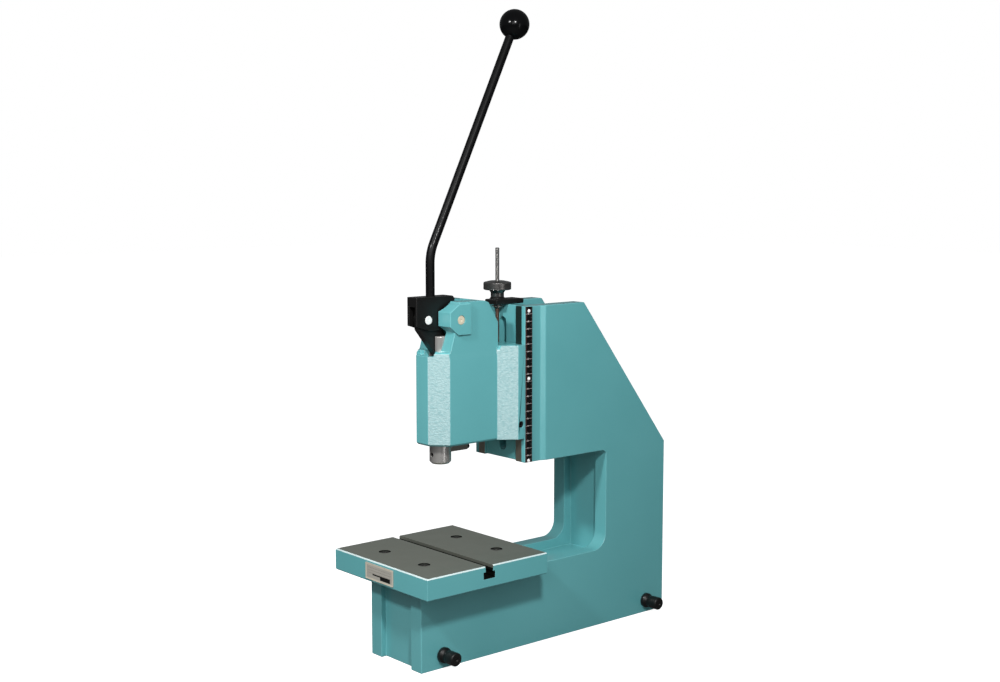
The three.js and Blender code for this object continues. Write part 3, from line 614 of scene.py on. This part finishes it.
def ruled(tree, height, spacing, thickness):
    """1 on lines of the given thickness at multiples of the spacing."""
    turns = maths(tree, "DIVIDE", height, spacing)
    centred = maths(tree, "ABSOLUTE", minus(tree, maths(tree, "FRACT", turns), 0.5))
    return over(tree, centred, 0.5 - thickness / spacing / 2)


across = minus(tree, scale_high[1] * MM, at["Y"])
line_sets = [  # spacing, thickness, length and strength
    (0.001, 0.00020, 0.0018, 0.12),
    (0.005, 0.00024, 0.0032, 0.2),
    (0.010, 0.0004, 0.02, 0.6),
]
lines = [
    times(tree, strength, all_of(
        tree, ruled(tree, at["Z"], spacing, thickness), under(tree, across, length)
    ))
    for spacing, thickness, length, strength in line_sets
]
white_lines = larger(tree, larger(tree, lines[0], lines[1]), lines[2])
white_lines = times(tree, white_lines, over(tree, at["NX"], 0.7))
skin = use_group(tree, "enamel skin", Ripple=1500.0, Drift=60.0)
strip_black = mixed_colour(tree, skin["Shade"], screen(7, 7, 8), screen(18, 17, 17))
brown_edge = over(tree, across, 0.0098)
strip_colour = mixed_colour(tree, brown_edge, strip_black, screen(62, 42, 40))
strip_colour = mixed_colour(tree, white_lines, strip_colour, screen(236, 222, 222))
shaded(tree, (strip_colour, 0.45, 0.0, skin["Height"]), 0.00002, specular=0.15)

# %% [markdown]
# The nameplate is a thin beige metal plate. Real ones carry the maker's data; this one is left
# blank apart from a frame line, ruled fields and one black box.

# %% Nameplate finish
plate_low, plate_high = box_mm("nameplate_blank")
plate_middle = (plate_low + plate_high) / 2 * MM
plate_finish, tree, at = new_finish("printed_nameplate")
px = minus(tree, at["X"], plate_middle[0])
pz = minus(tree, at["Z"], plate_middle[2])
in_front = under(tree, at["NY"], -0.7)
black_box = all_of(tree, between(tree, px, 0.002, 0.0235), between(tree, pz, -0.0078, -0.0022), in_front)
short_rule = all_of(tree, between(tree, px, -0.0145, 0.002), between(tree, pz, -0.0040, -0.0022), in_front)
fields = all_of(
    tree, ruled(tree, maths(tree, "ADD", pz, 0.00175), 0.0035, 0.0003),
    under(tree, size_of(tree, px), 0.0245), between(tree, pz, -0.0022, 0.0085), in_front,
)
frame_line = all_of(
    tree, over(tree, larger(tree, minus(tree, size_of(tree, px), 0.0272),
    minus(tree, size_of(tree, pz), 0.0082)), 0.0), in_front,
)
plate_base = bare_steel(tree, (180, 176, 166), (204, 200, 190), 0.4)
plate_colour = mixed_colour(tree, frame_line, plate_base[0], screen(222, 214, 196))
plate_colour = mixed_colour(tree, fields, plate_colour, screen(134, 120, 112))
dark_print = larger(tree, black_box, short_rule)
plate_colour = mixed_colour(tree, dark_print, plate_colour, screen(9, 10, 10))
shaded(tree, (plate_colour, plate_base[1], 0.3, plate_base[3]), 0.00004)
print("finishes:", [m.name for m in bpy.data.materials])

# %% [markdown]
# ## Copies of the fixed parts with rounded edges
#
# A real casting or milled block has no razor edges: the radius goes from a tenth or two of a
# millimetre up to one, and it catches the light. The fixed part's triangles are copied, merged, and
# joined back into whole flat faces, and a Bevel modifier then rounds the corners. Each edge's
# share of the radius grows with the edge's length, so a small hole gets a small chamfer. A long
# shallow crease counts as a corner too, or its narrow face would be shaded like its neighbours.

# %% Fit a finished piece to the press
def fitted(piece, node_name, body, material):
    """The piece stands for a fixed part, moves with a body and wears a finish."""
    piece.data.materials.clear()
    piece.data.materials.append(material)
    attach(piece, body)
    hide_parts(node_name)
    return piece


# %% Copy a fixed part and round its edges
FLAT_ANGLE = math.radians(0.6)
CORNER_ANGLE = math.radians(32)
FULL_ROUND_LENGTH = 0.004
CREASE_ANGLE = math.radians(15)
LONG_EDGE = 0.06


def round_share(edge):
    """An edge's share of the radius: none on a curve's facets, all of it on a long crease."""
    if not edge.is_manifold:
        return 0.0
    angle, length = edge.calc_face_angle(0.0), edge.calc_length()
    if angle > CORNER_ANGLE:
        return min(1.0, max(0.18, length / FULL_ROUND_LENGTH))
    return 1.0 if angle > CREASE_ANGLE and length > LONG_EDGE else 0.0


def rounded_copy(node_name, name, radius, body, material, segments=2):
    """A fixed part with rounded corners: each edge's radius is the full one, or less if it is short."""
    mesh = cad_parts[node_name].data.copy()
    mesh.name = name
    shaped = bmesh.new()
    shaped.from_mesh(mesh)
    bmesh.ops.remove_doubles(shaped, verts=shaped.verts, dist=3e-6)
    bmesh.ops.dissolve_limit(shaped, angle_limit=FLAT_ANGLE, verts=shaped.verts, edges=shaped.edges)
    shaped.to_mesh(mesh)
    shares = [round_share(edge) for edge in shaped.edges]
    shaped.free()
    weights = mesh.attributes.new("bevel_weight_edge", "FLOAT", "EDGE")
    weights.data.foreach_set("value", shares)
    mesh.shade_smooth()
    piece = bpy.data.objects.new(name, mesh)
    bpy.context.scene.collection.objects.link(piece)
    corners = piece.modifiers.new("rounded corners", "BEVEL")
    corners.width = radius * MM
    corners.segments = segments
    corners.limit_method = "WEIGHT"
    corners.use_clamp_overlap = False
    flat_faces = piece.modifiers.new("flat faces stay flat", "WEIGHTED_NORMAL")
    flat_faces.mode = "FACE_AREA"
    flat_faces.weight = 100
    print(name, "faces:", len(mesh.polygons), "rounded edges:", sum(share > 0 for share in shares))
    return fitted(piece, node_name, body, material)


# %% [markdown]
# The frame, the table and the head are the big painted parts. The milled hub, link, bracket,
# arm, clamp plate and ram and the scale strip follow, most of them with smaller radii.

# %% Round the big painted parts
rounded_copy("frame_casting", "frame_body", 1.0, "frame", frame_finish, segments=3)
rounded_copy("table_plate", "table", 0.35, "frame", table_finish)
rounded_copy("head_casting", "head_body", 0.7, "head", head_finish, segments=3)

# %% Round the milled parts
rounded_copy("spindle_bracket", "bracket_bar", 0.4, "frame", black_oxide)
rounded_copy("head_clamp_plate", "clamp_plate", 0.8, "head", plain_steel)
rounded_copy("ram", "ram_bar", 0.4, "ram", bright_steel)
rounded_copy("anti_rotation_arm", "guide_arm", 0.4, "ram", plain_steel)
rounded_copy("lever_hub", "hub_block", 0.6, "lever", black_oxide)
rounded_copy("toggle_link", "link_plate", 0.5, "link", black_oxide)
rounded_copy("depth_scale_strip", "scale_strip", 0.15, "frame", scale_finish)

# %% [markdown]
# ## Turned surfaces
#
# Pins, screws, studs, wheels and bushes all come off a lathe. Such a shape is a grid of points:
# one direction follows the profile, the other goes round the axis. The whole grid is worked out
# at once, and a small change of the radius with angle and height adds a thread, a knurl or the
# six flats of a socket.

# %% Make a mesh from a grid of points
SHARP_ANGLE = math.radians(38)


def surface(name, points, closed_rows=False):
    """Quads over a grid of points in millimetres; columns go round, back to the first one.

    Points that meet, as at a pole, are merged, and the faces are turned outwards.
    """
    rows, columns = points.shape[:2]
    row = np.arange(rows if closed_rows else rows - 1)[:, None]
    column = np.arange(columns)[None, :]
    here, there = row * columns, (row + 1) % rows * columns
    after = (column + 1) % columns
    quads = np.stack([here + column, here + after, there + after, there + column], axis=-1)
    mesh = bpy.data.meshes.new(name)
    mesh.from_pydata((points.reshape(-1, 3) * MM).tolist(), [], quads.reshape(-1, 4).tolist())
    shaped = bmesh.new()
    shaped.from_mesh(mesh)
    bmesh.ops.remove_doubles(shaped, verts=shaped.verts, dist=1e-6)
    bmesh.ops.recalc_face_normals(shaped, faces=shaped.faces)
    shaped.to_mesh(mesh)
    shaped.free()
    mesh.shade_smooth()
    mesh.set_sharp_from_angle(angle=SHARP_ANGLE)
    piece = bpy.data.objects.new(name, mesh)
    bpy.context.scene.collection.objects.link(piece)
    return piece


# %% Round and divide a profile
def rounded(profile, reach, closed=False, steps=4):
    """Each corner becomes a curve: (1-t)^2 start + 2t(1-t) corner + t^2 end, t from 0 to 1.

    Start and end lie `reach` from the corner, or 45% of the shorter side if that is less.
    """
    p = np.array([(*row, 0.0)[:3] for row in profile])
    before, after = np.roll(p, 1, axis=0), np.roll(p, -1, axis=0)
    t = np.linspace(0, 1, steps)[None, :, None]
    to_before, to_after = before - p, after - p
    length_before = np.maximum(np.linalg.norm(to_before[:, :2], axis=1), 1e-9)[:, None]
    length_after = np.maximum(np.linalg.norm(to_after[:, :2], axis=1), 1e-9)[:, None]
    start = (p + to_before * np.minimum(reach / length_before, 0.45))[:, None]
    end = (p + to_after * np.minimum(reach / length_after, 0.45))[:, None]
    curves = (1 - t) ** 2 * start + 2 * t * (1 - t) * p[:, None] + t**2 * end
    if closed:
        return curves.reshape(-1, 3)
    return np.vstack([p[:1], curves[1:-1].reshape(-1, 3), p[-1:]])


def divided(profile, step):
    """The same profile with a station at least every `step` millimetres along it."""
    along = np.concatenate([[0], np.cumsum(np.linalg.norm(np.diff(profile[:, :2], axis=0), axis=1))])
    extra = np.linspace(0, along[-1], int(along[-1] / step) + 2)
    stations = np.unique(np.round(np.concatenate([along, extra]), 5))
    return np.column_stack([np.interp(stations, along, profile[:, k]) for k in range(3)])


# %% Turn a profile about an axis
def turned(name, profile, along="Z", centre=(0, 0), columns=64, closed=False, change=None):
    """Point = (radius cos a, radius sin a, height) about an axis along X, Y or Z.

    Where the profile's third number is 1 the ring is a hexagon: its radius is multiplied by
    cos 30 / cos(angle from the middle of the nearest flat). `change` reshapes the radius.
    """
    radius, height, flats = np.array(profile).T[:, :, None]
    angle = np.linspace(0, 2 * np.pi, columns, endpoint=False)[None, :]
    hexagon = math.cos(math.pi / 6) / np.cos(angle % (math.pi / 3) - math.pi / 6)
    ring = radius * (1 + flats * (hexagon - 1))
    if change is not None:
        ring = change(ring, angle, height)
    u, v, w = ring * np.cos(angle), ring * np.sin(angle), height + 0 * angle
    places = {
        "X": (w, u + centre[0], v + centre[1]),
        "Y": (v + centre[0], w, u + centre[1]),
        "Z": (u + centre[0], v + centre[1], w),
    }
    return surface(name, np.stack(places[along], axis=-1), closed_rows=closed)


# %% Thread and knurl
def threaded(pitch, depth, low, high):
    """The radius less the depth times a triangle wave of (height / pitch - turns)."""
    def change(radius, angle, height):
        wave = np.abs((height / pitch - angle / (2 * np.pi)) % 1 - 0.5) * 2
        fade = np.clip((height - low) / pitch, 0, 1) * np.clip((high - height) / pitch, 0, 1)
        return radius - depth * wave * fade
    return change


def knurled(count, pitch, depth, low, high, beyond):
    """Diamonds: the radius less the depth times the larger of two crossing triangle waves."""
    def change(radius, angle, height):
        turns = angle * count / (2 * np.pi)
        left = np.abs((turns + height / pitch) % 1 - 0.5) * 2
        right = np.abs((turns - height / pitch) % 1 - 0.5) * 2
        rim = (height > low) & (height < high) & (radius > beyond)
        return radius - depth * np.maximum(left, right) * rim
    return change


# %% [markdown]
# ## Screws and pins
#
# A socket screw is one closed profile: out along its end, up the shank, round the head and down
# into the six-sided socket. The straight knurl round the head is two crossing waves so steep
# that they read as fine teeth.

# %% Socket screws
def socket_screw(name, node_name, along, centre, top, end, head, shank, socket, body, material):
    """A screw from its head's face to its end; head and socket give a radius and a depth."""
    into = np.sign(end - top)
    length = abs(end - top)
    depths = [
        (0, length), (shank - 0.5, length), (shank, length - 0.5), (shank, head[1]),
        (head[0], head[1]), (head[0], 0.5), (head[0] - 0.5, 0), (socket[0] + 0.3, 0),
        (socket[0], 0.25, 1), (socket[0], socket[1], 1), (0, socket[1] + 0.4 * socket[0]),
    ]
    profile = rounded([(row[0], top + into * row[1], *row[2:]) for row in depths], 0.15, steps=3)
    profile = divided(profile, 0.5)
    low, high = sorted([top + into * 0.7, top + into * (head[1] - 0.4)])
    teeth = knurled(30, 40.0, 0.12, low, high, head[0] - 0.1)
    piece = turned(name, profile, along, centre, columns=180, change=teeth)
    return fitted(piece, node_name, body, material)


for end_name in ("front", "rear"):
    for side_name in ("left", "right"):
        node_name = f"table_screw_{end_name}_{side_name}"
        low, high = box_mm(node_name)
        socket_screw(
            f"table_cap_screw_{end_name}_{side_name}", node_name, "Z", (low + high)[:2] / 2, high[2], low[2],
            (7.5, 8.0), 3.9, (3.75, 4.8), "frame", black_screw,
        )
for side_name in ("left", "right"):
    low, high = box_mm(f"bracket_screw_{side_name}")
    socket_screw(
        f"bracket_cap_screw_{side_name}", f"bracket_screw_{side_name}", "Z", (low + high)[:2] / 2,
        high[2], low[2], (4.2, 3.0), 2.4, (2.1, 1.8), "frame", black_oxide,
    )
low, high = box_mm("anti_rotation_arm_screw")
socket_screw(
    "arm_cap_screw", "anti_rotation_arm_screw", "Y", (low + high)[[0, 2]] / 2, high[1], low[1],
    (3.3, 3.5), 1.9, (1.5, 1.8), "ram", black_oxide,
)
print("socket screws made")


# %% [markdown]
# Set screws have no head, only the socket, so they can sit flush in a hole.

# %% Set screws
def set_screw(name, node_name, along, centre, top, end, radius, socket, body):
    """A screw without a head: thread all along, a cone point and a six-sided socket."""
    into = np.sign(end - top)
    length = abs(end - top)
    depths = [
        (0, length), (radius * 0.5, length), (radius, length - radius * 0.5), (radius, 0.4),
        (radius - 0.4, 0), (socket[0] + 0.2, 0), (socket[0], 0.2, 1), (socket[0], socket[1], 1),
        (0, socket[1] + 0.4 * socket[0]),
    ]
    profile = divided(rounded([(r[0], top + into * r[1], *r[2:]) for r in depths], 0.1, steps=3), 0.12)
    thread = threaded(1.0, 0.35, min(top, end) + 1.0, max(top, end) - 0.5)

    def outer_thread(ring, angle, height):
        return np.where(ring > radius - 0.6, thread(ring, angle, height), ring)

    piece = turned(name, profile, along, centre, columns=48, change=outer_thread)
    return fitted(piece, node_name, body, black_oxide)


low, high = box_mm("side_clamp_screw_right")
for side_name, side in (("right", 1), ("left", -1)):
    set_screw(
        f"side_set_screw_{side_name}", f"side_clamp_screw_{side_name}", "X", (low + high)[1:] / 2,
        side * high[0], side * low[0], 4.2, (2.2, 4.0), "head",
    )
low, high = box_mm("tool_clamp_screw")
set_screw(
    "tool_set_screw", "tool_clamp_screw", "Y", (low + high)[[0, 2]] / 2,
    low[1], high[1], 2.9, (1.6, 3.6), "ram",
)


# %% [markdown]
# Pins are ground bars with a small chamfer and the drilled mark of the lathe's centre in each
# end. The scale's small screws have a domed head; the studs on the base have a flange, a waist
# and a thicker outer end.

# %% Pins
def pin(name, node_name, body, material):
    """A pin along X: chamfered ends, each with a small drilled centre."""
    low, high = box_mm(node_name)
    radius, end = (high[1] - low[1]) / 2, high[0]
    half = [(0, end - 1.1), (1.0, end), (radius - 0.5, end), (radius, end - 0.5)]
    profile = rounded(half + [(r, -x) for r, x in half[::-1]], 0.12, steps=3)
    centre = (low + high)[1:] / 2
    return fitted(turned(name, profile, "X", centre, columns=72), node_name, body, material)


pin("pivot_pin", "lever_pivot_pin", "head", straw_pin)
pin("hub_link_pin", "link_pin", "lever", white_pin)
pin("ram_fork_pin", "ram_pin", "ram", plain_steel)

# %% Studs on the base
STUD_FROM_END = [
    (0, 45), (4.2, 45), (4.7, 44.5), (4.7, 27.8), (10.3, 27.7), (10.3, 23.0), (9.4, 21.6), (7.9, 19.8),
    (7.6, 18.6), (7.6, 16.4), (8.6, 14.4), (8.9, 13.8), (8.9, 1.2), (7.8, 0), (2.6, 0), (1.6, 1.4), (0, 1.4),
]
for end_name in ("front", "rear"):
    for side_name, side in (("left", -1), ("right", 1)):
        node_name = f"side_stud_{end_name}_{side_name}"
        low, high = box_mm(node_name)
        tip = side * max(abs(low[0]), abs(high[0]))
        profile = rounded([(r, tip - side * depth) for r, depth in STUD_FROM_END], 0.6)
        stud = turned(f"base_stud_{end_name}_{side_name}", profile, "X", (low + high)[1:] / 2, columns=72)
        fitted(stud, node_name, "frame", black_oxide)
print("studs made")

# %% Scale screws
for number in (1, 2, 3):
    low, high = box_mm(f"scale_screw_{number}")
    face, root = high[0], low[0]
    profile = rounded([
        (0, root), (1.3, root), (1.3, face - 1.1), (2.4, face - 1.05), (2.3, face - 0.6), (1.7, face - 0.1),
        (1.15, face), (0.95, face - 0.05, 1), (0.95, face - 0.7, 1), (0, face - 0.9),
    ], 0.12)
    screw = turned(f"scale_dome_screw_{number}", profile, "X", (low + high)[1:] / 2, columns=48)
    fitted(screw, f"scale_screw_{number}", "frame", white_pin)

# %% [markdown]
# ## Bushes, studs and clamp parts
#
# Rings have a closed profile: it goes round the ring's section and back to its start. The clamp
# nuts are rings whose outside is a hexagon, with the chamfer that a nut gets on both faces.

# %% Bushes and the retaining ring
def ring(name, node_name, bore, along, body, slot, material, reach=0.4):
    """A plain ring: the section is a rectangle from the bore to the outside, with rounded corners."""
    low, high = box_mm(node_name)
    axis = "XYZ".index(along)
    others = [k for k in range(3) if k != axis]
    outer = (high - low)[others].max() / 2
    z0, z1 = low[axis], high[axis]
    profile = rounded([(bore, z0), (outer, z0), (outer, z1), (bore, z1)], reach, closed=True)
    made = turned(name, profile, along, (low + high)[others] / 2, columns=96, closed=True)
    return fitted(made, node_name, body, material)


BUSH_BORE = 14.7
CLAMP_BORE = 5.3
for level in ("lower", "upper"):
    ring(f"bush_{level}", f"ram_bush_{level}", BUSH_BORE, "Z", "head", "bearing_bronze", bronze)
ring("wheel_snap_ring", "handwheel_retaining_ring", 4.4, "Z", "handwheel", "plain_steel", plain_steel, 0.2)
for number in (1, 2):
    ring(
        f"clamp_washer_{number}", f"head_clamp_washer_{number}", CLAMP_BORE, "Y",
        "head", "plain_steel", plain_steel,
    )

# %% Clamp studs and nuts
for number in (1, 2):
    low, high = box_mm(f"head_clamp_stud_{number}")
    centre = (low + high)[[0, 2]] / 2
    start, end = low[1], high[1]
    profile = divided(rounded([(0, start), (4.9, start), (4.9, end - 0.8), (4.1, end), (0, end)], 0.2), 0.25)
    thread = threaded(1.5, 0.6, start + 30, end - 0.5)
    stud = turned(f"clamp_stud_{number}", profile, "Y", centre, columns=48, change=thread)
    fitted(stud, f"head_clamp_stud_{number}", "head", plain_steel)
    low, high = box_mm(f"head_clamp_nut_{number}")
    y0, y1, corner = low[1], high[1], (high[2] - low[2]) / math.sqrt(3)
    if high[0] - low[0] > high[2] - low[2]:
        corner = (high[0] - low[0]) / 2
    profile = rounded([
        (CLAMP_BORE, y0 + 0.4), (5.8, y0), (corner - 1.6, y0), (corner, y0 + 0.8, 1), (corner, y1 - 0.8, 1),
        (corner - 1.6, y1), (5.8, y1), (CLAMP_BORE, y1 - 0.4),
    ], 0.12, closed=True, steps=3)
    nut = turned(f"clamp_nut_{number}", profile, "Y", centre, columns=96, closed=True)
    fitted(nut, f"head_clamp_nut_{number}", "head", black_oxide)
print("clamp parts made")

# %% [markdown]
# ## Height adjustment
#
# The head hangs on a thin threaded spindle. Its thread is real geometry: the radius falls and
# rises once per pitch, shifted by the turn made, which gives one continuous helix. The
# handwheel's rim carries a diamond knurl for the fingers.

# %% Spindle
low, high = box_mm("lift_spindle")
bottom, top = low[2], high[2]
profile = divided(rounded([(0, bottom), (2.9, bottom), (2.9, top - 0.8), (2.0, top), (0, top)], 0.2), 0.17)
thread = threaded(1.0, 0.42, bottom + 1, top - 1)
spindle = turned("threaded_spindle", profile, "Z", (low + high)[:2] / 2, columns=28, change=thread)
fitted(spindle, "lift_spindle", "head", spindle_finish)
print("spindle faces:", len(spindle.data.polygons))

# %% Handwheel
low, high = box_mm("lift_handwheel")
bottom, top, rim = low[2], high[2], (high[0] - low[0]) / 2
wheel_section = [
    (3.2, bottom), (5.0, bottom), (5.0, bottom + 1.9), (4.1, bottom + 1.9),
    (4.1, bottom + 3.4), (5.0, bottom + 3.4), (5.0, bottom + 15.3), (9.0, bottom + 15.3),
    (9.0, bottom + 20.6), (11.0, bottom + 23.8),
    (rim - 1.2, bottom + 24.5), (rim, bottom + 25.6), (rim, top - 2.8), (rim - 1.2, top - 1.7), (10.2, top),
    (3.8, top), (3.2, top - 0.6),
]
wheel_profile = divided(rounded(wheel_section + wheel_section[:1], 0.35), 0.4)[:-1]
knurl = knurled(64, 1.9, 0.25, bottom + 25.5, top - 2.7, rim - 0.2)
wheel = turned(
    "handwheel_body", wheel_profile, "Z", (low + high)[:2] / 2, columns=384, closed=True, change=knurl
)
fitted(wheel, "lift_handwheel", "handwheel", black_wheel)
print("handwheel faces:", len(wheel.data.polygons))

# %% [markdown]
# ## Lever, ball and spring
#
# The lever rod is a round bar with one bend, and the spring is a round wire along a helix. Both
# are one idea: a circle carried along a path. At every station the circle stands in the plane
# of two directions across the path, one given and one found as the cross product with the
# path's own direction.

# %% Carry a circle along a path
def carried(name, path, side, radius, columns=32):
    """Point = path + radius (cos a side + sin a (direction x side)), closed at both ends."""
    direction = np.gradient(path, axis=0)
    direction /= np.linalg.norm(direction, axis=1)[:, None]
    side = np.broadcast_to(np.array(side, float), path.shape)
    other = np.cross(direction, side)
    other /= np.linalg.norm(other, axis=1)[:, None]
    angle = np.linspace(0, 2 * np.pi, columns, endpoint=False)[None, :, None]
    size = np.broadcast_to(np.asarray(radius, float), len(path))[:, None, None]
    points = path[:, None] + size * (np.cos(angle) * side[:, None] + np.sin(angle) * other[:, None])
    caps = [np.broadcast_to(path[k], (1, columns, 3)) for k in (0, -1)]
    return surface(name, np.concatenate([caps[0], points, caps[1]]))


# %% Lever rod
rod_low, rod_high = box_mm("lever_rod")
ball_low, ball_high = box_mm("ball_knob")
ball_centre = (ball_low + ball_high) / 2
ROD_RADIUS = (rod_high[0] - rod_low[0]) / 2
BEND_HEIGHT = 533.0
BEND_REACH = 14
rod_start = np.array([0.0, rod_low[1] + ROD_RADIUS, rod_low[2]])
rod_bend = np.array([0.0, rod_start[1], BEND_HEIGHT])
upward = np.array([0.0, 0.0, 1.0])
slanted = (ball_centre - rod_bend) / np.linalg.norm(ball_centre - rod_bend)
bend_start, bend_end = rod_bend - BEND_REACH * upward, rod_bend + BEND_REACH * slanted
t = np.linspace(0, 1, 24)[:, None]
lower = rod_start + t * (bend_start - rod_start)
curve = (1 - t) ** 2 * bend_start + 2 * t * (1 - t) * rod_bend + t**2 * bend_end
upper = bend_end + t * (ball_centre - bend_end)
rod = carried("bent_lever_rod", np.vstack([lower, curve[1:], upper[1:]]), (1, 0, 0), ROD_RADIUS, columns=48)
fitted(rod, "lever_rod", "lever", lever_black)

# %% [markdown]
# The ball is a moulded sphere with a flat where the rod enters. It is turned about its own
# axis, which leans with the rod, so its finished points are tilted by a rotation about X.

# %% Ball knob
BALL_RADIUS = (ball_high[0] - ball_low[0]) / 2
round_part = np.linspace(0, math.radians(157), 60)
ball_profile = np.column_stack([
    BALL_RADIUS * np.sin(round_part), BALL_RADIUS * np.cos(round_part), 0 * round_part
])
flat_radius, flat_height = ball_profile[-1, :2]
neck = rounded([
    (flat_radius, flat_height), (6.9, flat_height), (6.2, flat_height + 0.7), (6.2, 0.3), (0, 0.3),
], 0.2)
ball = turned("ball_handle", np.vstack([ball_profile, neck[1:]]), "Z", columns=96)
lean = math.atan2(slanted[1], slanted[2])
points = np.empty(len(ball.data.vertices) * 3, np.float32)
ball.data.vertices.foreach_get("co", points)
x, y, z = points.reshape(-1, 3).T
leaning = np.column_stack([
    x, y * math.cos(lean) + z * math.sin(lean), z * math.cos(lean) - y * math.sin(lean)
])
ball.data.vertices.foreach_set("co", (leaning + ball_centre * MM).astype(np.float32).ravel())
ball.data.update()
fitted(ball, "ball_knob", "lever", knob_plastic)
print("rod lean:", round(math.degrees(lean), 1), "degrees")

# %% [markdown]
# The return spring is pressed together when the ram goes down: its lower end stays in the head
# and its upper end follows the rod's head. Here the spring is made at one length and moves with
# the head.

# %% Return spring
low, high = box_mm("return_spring")
WIRE = 1.0
TURNS = 13
STATIONS_PER_TURN = 36
coil_radius = (high[0] - low[0]) / 2 - WIRE
spring_axis = (low + high)[:2] / 2
t = np.linspace(0, 1, TURNS * STATIONS_PER_TURN)
angle = 2 * np.pi * TURNS * t
rise = low[2] + WIRE + t * (high[2] - low[2] - 2 * WIRE)
outward = np.column_stack([np.cos(angle), np.sin(angle), 0 * angle])
coil = outward * coil_radius + np.column_stack([0 * t + spring_axis[0], 0 * t + spring_axis[1], rise])
spring = carried("coil_spring", coil, outward, WIRE, columns=14)
fitted(spring, "return_spring", "head", spring_steel)
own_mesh(spring)

# %% Guide rod in the spring
low, high = box_mm("anti_rotation_rod")
bottom, top, head_radius = low[2], high[2], (high[0] - low[0]) / 2
profile = rounded([
    (0, bottom), (3.4, bottom), (4.0, bottom + 0.8), (4.0, top - 5.7),
    (head_radius, top - 5.7), (head_radius, top), (0, top),
], 0.4)
guide_rod = turned("spring_guide_rod", profile, "Z", (low + high)[:2] / 2, columns=64)
fitted(guide_rod, "anti_rotation_rod", "ram", bright_steel)

# %% [markdown]
# ## Nameplate and scale numbers
#
# The nameplate is pressed from thin sheet: rounded corners, a raised rim and a flat field. Its
# outline at any inset is found from an angle: the corner's centre plus the corner radius in
# that direction. The scale's numbers are plain figures, one each ten millimetres.

# %% Nameplate
half_width, half_height = (plate_high - plate_low)[[0, 2]] / 2
CORNER = 1.6
OUTLINE_POINTS = 96
angle = (np.arange(OUTLINE_POINTS) + 0.5) * 2 * np.pi / OUTLINE_POINTS
insets = [(0.0, 1.0), (0.0, 0.35), (0.25, 0.0), (0.9, 0.0), (1.2, 0.3), (20.0, 0.3)]
rings = []
for inset, depth in [(20.0, 1.0), *insets]:
    radius = max(CORNER - inset, 0.2)
    reach_x = max(half_width - inset - radius, 0)
    reach_z = max(half_height - inset - radius, 0)
    x = np.sign(np.cos(angle)) * reach_x + radius * np.cos(angle)
    z = np.sign(np.sin(angle)) * reach_z + radius * np.sin(angle)
    y = plate_low[1] + depth * (plate_high[1] - plate_low[1])
    rings.append(np.column_stack([x + plate_middle[0] / MM, 0 * angle + y, z + plate_middle[2] / MM]))
for place in (0, -1):
    cap = rings[place].mean(axis=0)
    rings.insert(0 if place == 0 else len(rings), np.broadcast_to(cap, rings[0].shape))
name_plate = surface("blank_nameplate", np.stack(rings))
fitted(name_plate, "nameplate_blank", "frame", plate_finish)

# %% Numbers on the scale
FIGURE_HEIGHT = 0.0032
number_meshes = []
for number in range(0, 21):
    height = (math.ceil(scale_low[2] / 10) * 10 + 10 * number) * MM
    if height > (scale_high[2] - 3) * MM:
        continue
    text = bpy.data.curves.new("number", "FONT")
    text.body = str(number)
    text.size = FIGURE_HEIGHT
    text.align_x = "CENTER"
    text.align_y = "CENTER"
    text.extrude = 0.00004
    text.resolution_u = 2
    writing = bpy.data.objects.new("number", text)
    mesh = bpy.data.meshes.new_from_object(writing)
    flat = np.empty(len(mesh.vertices) * 3, np.float32)
    mesh.vertices.foreach_get("co", flat)
    x, y, z = flat.reshape(-1, 3).T
    column_y = (scale_low[1] + 3.9) * MM
    placed = np.column_stack([z + scale_high[0] * MM + 0.00005, x + column_y, y + height])
    mesh.vertices.foreach_set("co", placed.astype(np.float32).ravel())
    number_meshes.append(mesh)
    bpy.data.objects.remove(writing)

joined = bmesh.new()
for mesh in number_meshes:
    joined.from_mesh(mesh)
bmesh.ops.remove_doubles(joined, verts=joined.verts, dist=1e-7)
bmesh.ops.recalc_face_normals(joined, faces=joined.faces)
numbers_mesh = bpy.data.meshes.new("scale_numbers")
joined.to_mesh(numbers_mesh)
joined.free()
numbers = bpy.data.objects.new("scale_numbers", numbers_mesh)
bpy.context.scene.collection.objects.link(numbers)

ink, tree, _ = new_finish("white_scale_ink")
skin = use_group(tree, "enamel skin", Ripple=2500.0, Drift=80.0)
ink_colour = mixed_colour(tree, skin["Shade"], screen(206, 204, 200), screen(236, 234, 230))
shaded(tree, (ink_colour, 0.55, 0.0, skin["Height"]), 0.00001)
numbers_mesh.materials.append(ink)
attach(numbers, "frame")
print("numbers on the scale:", len(number_meshes))
